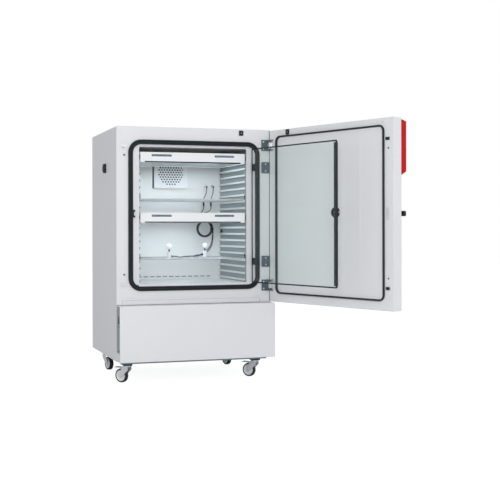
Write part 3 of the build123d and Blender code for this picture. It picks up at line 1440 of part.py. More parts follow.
def brake_pedal(name):
    """Foot lever over the wheel, on a pin between the cheeks."""
    half = CHEEK_IN - PEDAL_GAP
    x, z = PEDAL_PIVOT_X, PEDAL_PIVOT_Z
    lever = rod_y(x, z, PEDAL_BARREL_R, -half, half)
    tip = x + PEDAL_LEN
    w = PEDAL_W / 2
    z0 = PEDAL_Z
    plate = block(x, tip, -half, half, z0, z0 + PEDAL_T)
    foot = block(tip - PEDAL_FOOT, tip, -w, w, z0 + 1, z0 + PEDAL_T + 1)
    foot = fillet(foot.edges().filter_by(Axis.Z).group_by(Axis.X)[-1], PEDAL_R)
    lever = lever + plate + foot
    return place_castor(lever - rod_y(x, z, PEDAL_PIN_R + AXLE_FIT, -WHEEL_W, WHEEL_W), name)


# Light sensors and their leads


def rack_top(k):
    return rib_top(k) + RACK_LIFT + 2 * RACK_ROD_R


LEAD_Z = rack_top(LOWER_RACK_RIB) + LEAD_D / 2 + LEAD_CLEAR
STUB_Z = rack_top(LOWER_RACK_RIB) + SENSOR_STUB_Z


def light_sensor(place, side):
    """Round body with a ball on a neck; its cable stub points to the given side."""
    x = place[0]
    y = WALL_Y - place[1]
    z0 = rack_top(LOWER_RACK_RIB)
    body = rod_z(x, y, SENSOR_R, z0, z0 + SENSOR_BODY_H)
    body = fillet(body.edges().group_by(Axis.Z)[-1], SENSOR_ROUND)
    body += rod_z(x, y, SENSOR_NECK_R, z0 + SENSOR_BODY_H - 1, z0 + SENSOR_BALL_Z - SENSOR_BALL_R / 2)
    body += Pos(x, y, z0 + SENSOR_BALL_Z) * Sphere(SENSOR_BALL_R)
    end = side * (SENSOR_R + SENSOR_STUB_L)
    return body + rod_x(y, STUB_Z, SENSOR_STUB_R, x + min(0, end), x + max(0, end))


def light_sensors():
    return group([light_sensor(SENSOR_LEFT, 1), light_sensor(SENSOR_RIGHT, -1)])


def lead_sockets():
    """Sockets on the back wall, each with its angled plug pointing down."""
    pieces = []
    for x in SOCKET_X:
        face = WALL_Y - SOCKET_T
        socket = rod_y(x, SOCKET_Z, SOCKET_R, face, WALL_Y)
        socket += rod_y(x, SOCKET_Z, PLUG_R, WALL_Y - PLUG_L, face + 1)
        socket += rod_y(x, SOCKET_Z, ELBOW_STEM_R, WALL_Y - 1, WALL_Y + ELBOW_STEM_L)
        y = WALL_Y - LEAD_OFF_WALL
        socket += rod_z(x + ELBOW_SIDE, y, ELBOW_R, SOCKET_Z - ELBOW_DROP, SOCKET_Z)
        pieces.append(socket)
    return group(pieces)


def connector_place(k):
    return CONNECTOR_X[k], WALL_Y - CONNECTOR_OFF_WALL


def lead_connectors():
    """In-line connectors on the leads, and the tie round the coils."""
    pieces = []
    for k in range(2):
        x, y = connector_place(k)
        body = rod_z(x, y, CONNECTOR_R, CONNECTOR_Z0, CONNECTOR_Z1)
        pieces.append(fillet(body.edges().filter_by(GeomType.CIRCLE), CONNECTOR_ROUND))
    x0 = COIL_X + COIL_R - COIL_IN - LEAD_D / 2 - TIE_CLEAR
    x1 = COIL_X + COIL_R + LEAD_D / 2 + TIE_CLEAR
    y1 = WALL_Y - COIL_Y_BACK + LEAD_D / 2 + TIE_CLEAR
    y0 = y1 - 3 * COIL_LAYER - LEAD_D - 2 * TIE_CLEAR
    z0 = COIL_Z - TIE_W / 2
    t = TIE_T
    tie = block(x0 - t, x1 + t, y0 - t, y1 + t, z0, z0 + TIE_W)
    pieces.append(tie - block(x0, x1, y0, y1, z0 - 1, z0 + TIE_W + 1))
    return group(pieces)


def tube_along(points, r):
    """A round lead along straight runs joined by tangent arcs; prints its radii and length."""
    runs = [(Vector(*b) - Vector(*a)) for a, b in zip(points, points[1:])]
    radii = []
    for first, second in zip(runs, runs[1:]):
        turn = radians(first.get_angle(second))
        radii.append(LEAD_ARC * min(first.length, second.length) / tan(turn / 2))
    path = FilletPolyline(*points, radius=radii)
    start = Plane(origin=points[0], z_dir=runs[0])
    solid = sweep(start * Circle(r), path=path)
    print("lead radii", [round(v) for v in radii], "length", round(path.length),
          "volume ratio", round(solid.volume / (pi * r * r * path.length), 4))
    return solid


# Routes of the free stretches, as (x, distance in front of the back wall, z)
UPPER_ROUTES = (
    [(227, 25, 1136), (227, 25, 1121), (223, 27, 1099), (211, 30, 1080), (204, 33, 1066),
     (204, 33, 1052)],
    [(271, 25, 1136), (271, 25, 1121), (267, 27, 1099), (258, 30, 1080), (252, 33, 1066),
     (252, 33, 1052)],
)
MIDDLE_ROUTES = (
    [(204, 33, 1002), (190, 35, 983), (172, 37, 964), (171, 38, 944)],
    [(252, 33, 1002), (239, 36, 988), (203, 43, 978), (175, 48.5, 966), (170.5, 49.5, 949)],
)
LOWER_ROUTES = (
    [(256, 47, 824), (250, 53, 796), (238, 62, 769), (216, 71, 745), (187, 79, 726),
     (153, 86, 713), (112, 98, LEAD_Z), (66, 125, LEAD_Z), (30, 168, LEAD_Z), (5, 221, LEAD_Z),
     (-18, 277, LEAD_Z), (-44, 329, LEAD_Z), (-60, 375, LEAD_Z + 1)],
    [(256, 61, 822), (250, 70, 794), (239, 81, 767), (221, 91, 744), (196, 99, 727),
     (166, 104, 715), (134, 108, LEAD_Z + 0.5), (107, 119, LEAD_Z), (94, 140, LEAD_Z),
     (99, 161, LEAD_Z + 1)],
)
LEAD_RUN_IN = (14.0, 20.0)


def from_wall(route):
    return [(x, WALL_Y - depth, z) for x, depth, z in route]


def coil_y(k, layer):
    """Depth of a coil layer; the second lead's layers lie in front of the first's."""
    return WALL_Y - COIL_Y_BACK - COIL_LAYER * (2 * k + layer)


def coil_nodes(k):
    """Points at each quarter turn: spiral in, climb a layer in half a turn, spiral out."""
    start = -COIL_ENTRY
    end = 4 * QUARTER * COIL_LOOPS
    steps = int(round((end - start) / QUARTER))
    climb = steps // 2
    nodes = []
    for j in range(steps + 1):
        a = radians(-start - QUARTER * j)
        inward = 2.0 * min(j, steps - j) / steps
        layer = min(max((j - climb) / 2.0, 0.0), 1.0)
        nodes.append((a, COIL_R - COIL_IN * inward, coil_y(k, layer)))
    points = [Vector(COIL_X + r * cos(a), y, COIL_Z + r * sin(a)) for a, r, y in nodes]
    return nodes, points


def coil_tangent(nodes, points, j):
    """Direction of travel, from the neighbouring points; square to the radius at both ends."""
    a, r, y = nodes[j]
    if j == 0 or j == len(nodes) - 1:
        return Vector(sin(a), 0, -cos(a))
    return (points[j + 1] - points[j - 1]).normalized()


def biarc(p0, t0, p1, t1):
    """Two arcs that leave p0 along t0 and reach p1 along t1."""
    v = p1 - p0
    along = v.dot(t0 + t1)
    bend = 2 * (1 - t0.dot(t1))
    d = (-along + sqrt(along * along + bend * v.dot(v))) / bend
    c0 = p0 + t0 * d
    c1 = p1 - t1 * d
    mid = (c0 + c1) * 0.5
    return [TangentArc(p0, mid, tangent=t0), TangentArc(mid, p1, tangent=(c1 - c0).normalized())]


def coil_wire(k):
    nodes, points = coil_nodes(k)
    tangents = [coil_tangent(nodes, points, j) for j in range(len(nodes))]
    edges = []
    lead_in = points[0] - tangents[0] * LEAD_D
    edges.append(Line(lead_in, points[0]))
    for j in range(len(nodes) - 1):
        edges += biarc(points[j], tangents[j], points[j + 1], tangents[j + 1])
    lead_out = points[-1] + tangents[-1] * LEAD_D
    edges.append(Line(points[-1], lead_out))
    return Wire([e.edge() for e in edges]), lead_in, tangents[0], lead_out


def least_gap(wires):
    """Least clear distance between turns, measured on points along the centre lines."""
    best = 1e9
    samples = []
    for w, wire in enumerate(wires):
        count = int(wire.length / 4)
        for j in range(count + 1):
            samples.append((w, wire.length * j / count, wire.position_at(j / count)))
    for i, (w0, s0, p0) in enumerate(samples):
        for w1, s1, p1 in samples[i + 1:]:
            if w0 == w1 and abs(s1 - s0) < 6 * LEAD_D:
                continue
            best = min(best, (p1 - p0).length)
    return best - LEAD_D


def lead_coils():
    solids = []
    wires = []
    for k in range(2):
        wire, start, tangent, end = coil_wire(k)
        wires.append(wire)
        section = Plane(origin=start, z_dir=tangent) * Circle(LEAD_D / 2)
        solid = sweep(section, path=wire)
        ratio = solid.volume / (pi * (LEAD_D / 2) ** 2 * wire.length)
        print("coil", k, "length", round(wire.length), "volume ratio", round(ratio, 4))
        solids.append(solid)
    print("least gap in the coils", round(least_gap(wires), 2))
    return group(solids)


def sensor_leads():
    """The stretches of the two leads that aren't coiled."""
    solids = []
    for k in range(2):
        wire, start, tangent, end = coil_wire(k)
        solids.append(tube_along(from_wall(UPPER_ROUTES[k]), LEAD_D / 2))
        x, y = connector_place(k)
        points = [(x, y, CONNECTOR_Z0)] + from_wall(MIDDLE_ROUTES[k])
        points += [tuple(start - tangent * LEAD_RUN_IN[k]), tuple(start)]
        solids.append(tube_along(points, LEAD_D / 2))
        points = [tuple(end), tuple(end - Vector(0, 0, COIL_RUN_OUT))] + from_wall(LOWER_ROUTES[k])
        place = (SENSOR_LEFT, SENSOR_RIGHT)[k]
        side = (1, -1)[k]
        stop = place[0] + side * (SENSOR_R + SENSOR_STUB_L)
        points += from_wall([(stop + side * SENSOR_RUN_IN, place[1], STUB_Z), (stop, place[1], STUB_Z)])
        solids.append(tube_along(points, LEAD_D / 2))
    return group(solids)


def main():
    os.makedirs("parts", exist_ok=True)
    save(outer_shell(), "outer_shell")
    save(back_panel(), "back_panel")
    save(base_tray(), "base_tray")
    save(front_frame(), "front_frame")
    save(chamber_gasket(), "chamber_gasket")
    save(inner_liner(), "inner_liner")
    save(side_walls(), "side_walls")
    save(insulation(), "insulation")
    save(rack_lower(), "rack_lower")
    save(rack_upper(), "rack_upper")
    save(fan_cover(), "fan_cover")
    save(fan_impeller(), "fan_impeller")
    save(fan_motor(), "fan_motor")
    save(evaporator(), "evaporator")
    save(port_sleeve(), "port_sleeve")
    save(port_plug(), "port_plug")
    save(door_skin(), "door_skin")
    save(door_inner_panel(), "door_inner_panel")
    save(door_foam(), "door_foam")
    save(door_gasket(), "door_gasket")
    save(door_hinge_pins(), "door_hinge_pins")
    save(hinge_blocks(), "hinge_blocks")
    save(latch_catches(), "latch_catches")
    save(lock_rod(), "lock_rod")
    save(door_handle(), "door_handle")
    save(controller_housing(), "controller_housing")
    save(display_window(), "display_window")
    save(glass_pane(), "glass_pane")
    save(glass_trim(), "glass_trim")
    save(glass_hinges(), "glass_hinges")
    save(glass_knob(), "glass_knob")
    for name, k in (("upper", UPPER_CAS_RIB), ("lower", LOWER_CAS_RIB)):
        save(cassette_housing(k), "cassette_" + name + "_housing")
        save(cassette_diffuser(k), "cassette_" + name + "_diffuser")
        save(cassette_tubes(k), "cassette_" + name + "_tubes")
    save(lower_cover(), "lower_cover")
    save(switch_strip(), "switch_strip")
    save(power_switch(), "power_switch")
    save(compressor(), "compressor")
    save(condenser(), "condenser")
    save(humidifier(), "humidifier")
    save(power_unit(), "power_unit")
    save(castor_mounts(), "castor_mounts")
    for name in TRAIL_ANGLES:
        save(castor_fork(name), "castor_fork_" + name)
        save(castor_wheel(name), "castor_wheel_" + name)
        if name.startswith("front"):
            save(brake_pedal(name), "brake_pedal_" + name)
    save(light_sensors(), "light_sensors")
    save(lead_sockets(), "lead_sockets")
    save(lead_connectors(), "lead_connectors")
    save(lead_coils(), "lead_coils")
    save(sensor_leads(), "sensor_leads")


main()
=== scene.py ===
# %% [markdown]
# # A climate chamber with its doors open
# The cabinet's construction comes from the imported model: every sheet, door and castor is already
# at its real size and place. This lesson dresses it. It sets up the camera and the light, mixes
# one finish for each real material, and then replaces the plain rubber, cord and plastic pieces
# with modelled ones.

# %% Load the frame
import bmesh
import bpy
import json
from math import cos, hypot, pi, radians, sin
from mathutils import Matrix, Vector


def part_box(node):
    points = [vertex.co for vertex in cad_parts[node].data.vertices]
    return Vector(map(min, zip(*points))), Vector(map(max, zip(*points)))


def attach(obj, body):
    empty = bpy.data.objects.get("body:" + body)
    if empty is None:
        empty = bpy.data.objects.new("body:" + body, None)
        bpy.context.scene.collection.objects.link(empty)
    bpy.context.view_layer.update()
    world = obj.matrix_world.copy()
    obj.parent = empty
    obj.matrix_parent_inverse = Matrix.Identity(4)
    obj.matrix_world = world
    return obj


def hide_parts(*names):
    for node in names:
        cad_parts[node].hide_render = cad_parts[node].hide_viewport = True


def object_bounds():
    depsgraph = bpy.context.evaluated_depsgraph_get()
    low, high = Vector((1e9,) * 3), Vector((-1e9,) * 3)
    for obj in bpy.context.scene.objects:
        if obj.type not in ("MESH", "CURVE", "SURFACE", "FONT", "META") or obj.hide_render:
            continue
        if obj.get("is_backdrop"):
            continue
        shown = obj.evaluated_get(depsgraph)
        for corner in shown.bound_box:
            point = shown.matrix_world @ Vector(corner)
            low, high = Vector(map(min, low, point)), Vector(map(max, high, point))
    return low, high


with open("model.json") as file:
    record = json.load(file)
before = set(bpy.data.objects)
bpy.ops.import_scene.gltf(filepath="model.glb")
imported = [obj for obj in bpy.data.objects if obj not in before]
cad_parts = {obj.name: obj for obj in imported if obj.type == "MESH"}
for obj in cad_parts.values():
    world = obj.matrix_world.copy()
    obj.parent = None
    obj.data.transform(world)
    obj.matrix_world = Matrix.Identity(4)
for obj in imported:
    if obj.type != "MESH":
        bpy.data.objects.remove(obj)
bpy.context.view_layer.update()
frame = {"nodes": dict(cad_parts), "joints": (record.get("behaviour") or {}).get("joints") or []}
MM = 0.001
UP = (0, 0, 1)
OUTWARD = (0, -1, 0)
INWARD = (0, 1, 0)


# %% Short ways to ask for a joint, a box and a visible object
def joint_named(name):
    return next(j for j in frame["joints"] if j["name"] == name)


def box_mm(node):
    """A node's lowest and highest corner in millimetres."""
    return [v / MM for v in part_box(node)]


def shown(name, data):
    """An object in the scene."""
    made = bpy.data.objects.new(name, data)
    bpy.context.scene.collection.objects.link(made)
    return made

# %% [markdown]
# ## Doors that were drawn shut
# Both doors stand open in the model. Pieces on them are easier to draw while the door is shut,
# parallel to the cabinet's front, so two matrices turn a finished piece to the open position.
# The joints in the frame give the hinge line and the angle, so nothing is guessed here.


# %% Find how far each door is open
def opening(joint_name):
    """The turn from shut, which is the joint's lower limit, to rest."""
    joint = joint_named(joint_name)
    pivot = Matrix.Translation(joint["pos_m"])
    angle = -radians(joint["range_deg"][0])
    return pivot @ Matrix.Rotation(angle, 4, Vector(joint["axis"])) @ pivot.inverted()


OUTER_TURN = opening("outer_door_hinge")
GLASS_TURN = opening("glass_door_hinge")


def shut_box(node, turn):
    """A door node's lowest and highest corner with that door shut."""
    back = turn.inverted()
    points = [back @ v.co for v in frame["nodes"][node].data.vertices]
    low = Vector([min(p[i] for p in points) for i in range(3)])
    high = Vector([max(p[i] for p in points) for i in range(3)])
    return low, high


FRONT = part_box("front_frame")[0].y
BACK_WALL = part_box("fan_cover")[1].y
DOOR_INSIDE = shut_box("door_skin", OUTER_TURN)[1].y
DOOR_OUTSIDE = shut_box("door_skin", OUTER_TURN)[0].y
print("cabinet front at", round(FRONT, 4), "door faces at", round(DOOR_OUTSIDE, 4), round(DOOR_INSIDE, 4))

# %% [markdown]
# ## The camera
# The photograph was taken from the left, at about chest height, from six metres away with a
# longish lens, and the subject stands off the lens's axis. The shift says how far. A camera's
# lens is given here for a sensor 36 mm wide.

# %% Camera at the photograph's place
CAMERA_PLACE = (-1.627, -5.658, 0.881)
CAMERA_YAW = 0.2924
CAMERA_PITCH = 0.0030
CAMERA_ROLL = 0.0015
LENS = 69.28
LENS_SHIFT = (0.1200, -0.0490)
camera = shown("photo_camera", bpy.data.cameras.new("photo_camera"))
camera.data.lens = LENS
camera.data.sensor_width = 36.0
camera.data.shift_x, camera.data.shift_y = LENS_SHIFT
camera.location = CAMERA_PLACE
camera.rotation_euler = (pi / 2 + CAMERA_PITCH, CAMERA_ROLL, -CAMERA_YAW)
bpy.context.scene.camera = camera
bpy.context.scene.view_settings.view_transform = "Standard"

# %% [markdown]
# ## Shader maths
# A finish is a network of nodes. Written out one by one they are hard to read, so a small class
# wraps a socket: adding or multiplying two wrapped sockets makes the Math node that does it.
# Every other node comes from one method, `node`.


# %% Wire and Finish
def sums(operation, swapped=False):
    """The method of Wire that makes one kind of Math node."""
    def method(wire, other):
        pair = [other, wire] if swapped else [wire, other]
        return wire.finish.node("ShaderNodeMath", {"operation": operation}, pair)
    return method


class Wire:
    """A socket that can be used in sums."""

    def __init__(self, finish, socket):
        self.finish = finish
        self.socket = socket

    __add__, __radd__ = sums("ADD"), sums("ADD", True)
    __sub__, __rsub__ = sums("SUBTRACT"), sums("SUBTRACT", True)
    __mul__, __rmul__ = sums("MULTIPLY"), sums("MULTIPLY", True)
    __pow__ = sums("POWER")


class Finish:
    """One material and the nodes in it."""

    def __init__(self, name):
        self.material = bpy.data.materials.new(name)
        self.material.use_nodes = True
        self.tree = self.material.node_tree
        self.tree.nodes.clear()
        self.output = self.tree.nodes.new("ShaderNodeOutputMaterial")

    def node(self, kind, settings=None, values=(), output=0):
        """Adds a node, sets it up, fills or links its inputs, and returns one output as a Wire."""
        made = self.tree.nodes.new(kind)
        for name, value in (settings or {}).items():
            if name == "stops":
                self.set_stops(made.color_ramp, value)
            else:
                setattr(made, name, value)
        pairs = values.items() if isinstance(values, dict) else enumerate(values)
        for key, value in pairs:
            if isinstance(value, Wire):
                self.tree.links.new(value.socket, made.inputs[key])
            elif value is not None:
                made.inputs[key].default_value = value
        return Wire(self, made.outputs[output])

    @staticmethod
    def set_stops(ramp, stops):
        for place, colour in stops[2:]:
            ramp.elements.new(place)
        for element, (place, colour) in zip(ramp.elements, stops):
            element.position = place
            element.color = colour

    def place(self, stretch=(1, 1, 1)):
        """The point on the surface in metres, stretched along each axis."""
        point = self.node("ShaderNodeTexCoord", output="Object")
        return self.node("ShaderNodeMapping", {"vector_type": "POINT"}, {"Vector": point, "Scale": stretch})

    def noise(self, scale, detail=2.0, stretch=(1, 1, 1)):
        values = {"Vector": self.place(stretch), "Scale": scale, "Detail": detail}
        return self.node("ShaderNodeTexNoise", {}, values, "Fac")

    def blend(self, share, first, second):
        """Mixes two colours."""
        made = self.tree.nodes.new("ShaderNodeMix")
        made.data_type = "RGBA"
        for key, value in ((0, share), (6, first), (7, second)):
            if isinstance(value, Wire):
                self.tree.links.new(value.socket, made.inputs[key])
            else:
                made.inputs[key].default_value = value
        return Wire(self, made.outputs[2])

    def bump(self, height, depth, strength=1.0):
        values = {"Height": height, "Distance": depth, "Strength": strength}
        return self.node("ShaderNodeBump", {}, values, "Normal")

    def surface(self, **values):
        """Puts a Principled shader on the output; spaces in socket names are written as _."""
        named = {key.replace("_", " "): value for key, value in values.items()}
        shader = self.node("ShaderNodeBsdfPrincipled", {}, named)
        self.tree.links.new(shader.socket, self.output.inputs[0])
        return self.material


def rgb(red, green, blue):
    """A colour as it is seen, from 0 to 255, as the linear numbers that a shader takes."""
    def linear(v):
        v = v / 255
        return v / 12.92 if v <= 0.04045 else ((v + 0.055) / 1.055) ** 2.4
    return (linear(red), linear(green), linear(blue), 1)


def tinted(colour, by=1.0, more=0.0):
    """The same colour made darker or paler."""
    return [min(1.0, c * by + more) for c in colour[:3]] + [1]

# %% [markdown]
# ## Painted sheet steel
# The cabinet is powder coated in a pale grey. Up close such paint has an orange-peel skin of
# about a millimetre, and over a whole panel its tone drifts a little. Both come from noise at two
# very different scales; the fine one goes into a bump, the broad one into the colour.


# %% Powder coat
def powder_coat(name, colour, rough=0.42, peel=0.00012):
    f = Finish(name)
    drift = f.noise(2.3, 3.0)
    dust = f.noise(55.0, 4.0)
    tone = f.blend(0.65 * drift + 0.35 * dust, tinted(colour, 0.93), colour)
    skin = f.noise(620.0, 2.0)
    return f.surface(
        Base_Color=tone,
        Roughness=rough + 0.10 * (dust - 0.5) + 0.06 * (drift - 0.5),
        Normal=f.bump(skin, peel, 0.6),
        Specular_IOR_Level=0.45,
    )


CABINET_PAINT = powder_coat("cabinet_paint", rgb(226, 227, 231))
WHITE_PAINT = powder_coat("white_sheet_paint", rgb(240, 242, 244), rough=0.34)
STRIP_PAINT = powder_coat("strip_paint", rgb(132, 146, 154), rough=0.40)
BLOCK_PAINT = powder_coat("castor_block_paint", rgb(42, 60, 72), rough=0.45)
MACHINE_PAINT = powder_coat("machine_paint", rgb(34, 36, 40), rough=0.35)

# %% [markdown]
# ## Steel sheet and wire
# The chamber is lined with fine-brushed stainless steel. Brushing leaves lines along one
# direction, so the noise is squeezed hard across that direction. It breaks the gloss more than
# the colour. Zinc plating is finer and more even, with a faint bluish bloom.


# %% Brushed and plated steel
def brushed_steel(name, colour, stretch, rough=0.34, metal=0.85, streaks=0.12):
    f = Finish(name)
    lines = f.noise(24.0, 4.0, stretch)
    cloud = f.noise(3.5, 3.0)
    tone = f.blend(0.5 * lines + 0.5 * cloud, tinted(colour, 0.93), colour)
    return f.surface(
        Base_Color=tone,
        Metallic=metal,
        Roughness=rough + streaks * (lines - 0.5) + 0.06 * (cloud - 0.5),
        Normal=f.bump(lines, 0.00015 * streaks, 0.4),
    )


def plated_steel(name, colour, rough=0.28):
    f = Finish(name)
    bloom = f.noise(38.0, 4.0)
    speck = f.noise(420.0, 3.0)
    warm = [colour[0], colour[1] * 0.97, colour[2] * 0.90, 1]
    return f.surface(
        Base_Color=f.blend(bloom, warm, colour),
        Metallic=0.6,
        Roughness=rough + 0.25 * (bloom - 0.5) + 0.08 * (speck - 0.5),
        Normal=f.bump(speck, 0.00004, 0.5),
    )


ALONG_X = (1, 60, 60)
ALONG_Y = (60, 1, 60)
LINER_STEEL = brushed_steel("liner_steel", rgb(232, 234, 234), ALONG_X, rough=0.48, metal=0.2)
RIB_STEEL = brushed_steel("rib_steel", rgb(150, 162, 165), ALONG_Y, rough=0.34, metal=0.6, streaks=0.03)
RACK_STEEL = plated_steel("rack_wire_steel", rgb(205, 210, 214), rough=0.22)
ZINC = plated_steel("zinc_plate", rgb(222, 226, 232), rough=0.34)
FIN_METAL = brushed_steel("fin_aluminium", rgb(205, 208, 212), (60, 60, 1), rough=0.38)

# %% [markdown]
# ## Rubber and plastic
# Seals are a blue-black rubber with a dull, slightly dusty skin. Handles and knobs are moulded
# plastic: their grain is a fine, even pebble, which Voronoi cells give better than noise. The
# red housing is glossier, with only a trace of grain.


# %% Rubber and moulded plastic
def rubber(name, colour, rough=0.62):
    f = Finish(name)
    dust = f.noise(26.0, 5.0)
    grain = f.noise(900.0, 2.0)
    return f.surface(
        Base_Color=f.blend(dust ** 2.0, colour, tinted(colour, more=0.018)),
        Roughness=rough + 0.18 * (dust - 0.5),
        Normal=f.bump(grain, 0.0001, 0.5),
        Specular_IOR_Level=0.35,
    )


def moulded_plastic(name, colour, rough=0.42, grain=0.00010, shine=0.5):
    f = Finish(name)
    cells = f.node("ShaderNodeTexVoronoi", {}, {"Vector": f.place(), "Scale": 1100.0}, "Distance")
    smear = f.noise(18.0, 4.0)
    return f.surface(
        Base_Color=f.blend(smear, colour, tinted(colour, 1.12, 0.004)),
        Roughness=rough + 0.16 * (smear - 0.5) + 0.05 * cells,
        Normal=f.bump(cells, grain, 0.5),
        Specular_IOR_Level=shine,
    )


SEAL_RUBBER = rubber("seal_rubber", rgb(22, 31, 38))
TYRE_RUBBER = rubber("tyre_rubber", rgb(38, 42, 48), rough=0.72)
LEAD_JACKET = rubber("lead_jacket", rgb(44, 47, 52), rough=0.5)
BLACK_PLASTIC = moulded_plastic("black_plastic", rgb(22, 26, 30), shine=0.35)
BLOCK_PLASTIC = moulded_plastic("hinge_block_plastic", rgb(72, 86, 97))
GREY_PLASTIC = moulded_plastic("pale_grey_plastic", rgb(196, 200, 205), rough=0.38)
WHITE_PLASTIC = moulded_plastic("white_plastic", rgb(226, 229, 233), rough=0.36)
RED_PLASTIC = moulded_plastic("red_plastic", rgb(184, 8, 20), rough=0.5, grain=0.00004, shine=0.15)

# %% [markdown]
# ## Glass, lamps and foam
# The inner door is a plain pane, seen mostly by its reflections and a faint green tint. Mixing a
# clear shader with a mirror by the angle of view is cheaper than real refraction, and a flat
# pane doesn't bend what lies behind it. Fingerprints and wiping dull the mirror a little.


# %% See-through finishes
def pane_glass(name, tint, haze=0.10):
    f = Finish(name)
    wipe = f.noise(7.0, 4.0, (1, 1, 0.35))
    clear = f.node("ShaderNodeBsdfTransparent", {}, {"Color": tint})
    reflecting = {"Base Color": rgb(214, 224, 228), "Roughness": 0.05 + 0.12 * wipe}
    mirror = f.node("ShaderNodeBsdfPrincipled", {}, reflecting)
    slant = f.node("ShaderNodeLayerWeight", {}, {"Blend": 0.5}, "Facing")
    shine = 0.012 + 0.85 * slant ** 5.0 + haze * (0.55 + 0.9 * wipe)
    share = f.node("ShaderNodeMixShader", {}, [shine, clear, mirror])
    f.tree.links.new(share.socket, f.output.inputs[0])
    return f.material


def opal(name, colour, glow):
    f = Finish(name)
    cloud = f.noise(14.0, 3.0)
    paler = tinted(colour, 1.05)
    return f.surface(
        Base_Color=f.blend(cloud, colour, paler),
        Roughness=0.24 + 0.14 * (cloud - 0.5),
        Emission_Color=paler,
        Emission_Strength=glow,
        Coat_Weight=0.4,
    )


def glossy_screen(name):
    f = Finish(name)
    smear = f.noise(11.0, 4.0)
    return f.surface(
        Base_Color=f.blend(smear, rgb(18, 20, 24), rgb(26, 29, 34)),
        Roughness=0.08 + 0.14 * smear,
        Coat_Weight=0.6,
    )


def rigid_foam(name):
    f = Finish(name)
    cells = f.node("ShaderNodeTexVoronoi", {}, {"Vector": f.place(), "Scale": 420.0}, "Distance")
    cloud = f.noise(9.0, 4.0)
    # the foam's dark grey stands in for the shade inside the air duct, where it shows through the slot: painted
    # shade
    return f.surface(
        Base_Color=f.blend(cloud, rgb(92, 96, 99), rgb(108, 112, 114)),
        Roughness=0.85 + 0.1 * (cloud - 0.5),
        Normal=f.bump(cells, 0.0006, 0.7),
    )


DOOR_GLASS = pane_glass("door_glass", rgb(253, 255, 254), haze=0.012)
DIFFUSER = pane_glass("cassette_diffuser", rgb(240, 246, 250), haze=0.35)
LAMP_GLASS = opal("lamp_glass", rgb(244, 243, 240), 7.5)
# the sensor balls are no lamps; their weak emission is a painted glow
SENSOR_OPAL = opal("sensor_opal", rgb(238, 242, 246), 0.10)
SCREEN = glossy_screen("display_glass")
LIT_SCREEN = opal("lit_display", rgb(58, 84, 104), 0.25)
GLASS_EDGE = moulded_plastic("glass_edge", rgb(26, 52, 54), rough=0.18, grain=0.00001)
FOAM = rigid_foam("rigid_foam")
print("finishes:", len(bpy.data.materials))

# %% [markdown]
# ## A small workshop for shapes
# The pieces ahead are sheet metal, mouldings and turned parts, so four ways of making a body are
# enough: a block, an outline drawn out into a prism, a profile turned on an axis, and a profile
# carried round a frame. Bodies are drawn in millimetres, like the real drawings. A real edge is
# never razor sharp, and its small round catches the light, so `take` bevels each body's edges
# before it joins the piece. Broad faces stay flat, and only the small ones are shaded as round.
# One piece can hold several finishes.


# %% Form: one piece in the making
FLAT_FROM = 12.0  # a face at least this wide both ways is shaded flat


def bridged(body, stations, closed):
    """Faces between each station's ring of vertices and the next one's."""
    ends = stations[1:] + (stations[:1] if closed else [])
    for one, two in zip(stations, ends):
        for k in range(len(one)):
            j = (k + 1) % len(one)
            body.faces.new((one[k], one[j], two[j], two[k]))


def rod(radius, length):
    """A plain cylinder's profile."""
    return [(0, 0), (radius, 0), (radius, length), (0, length)]


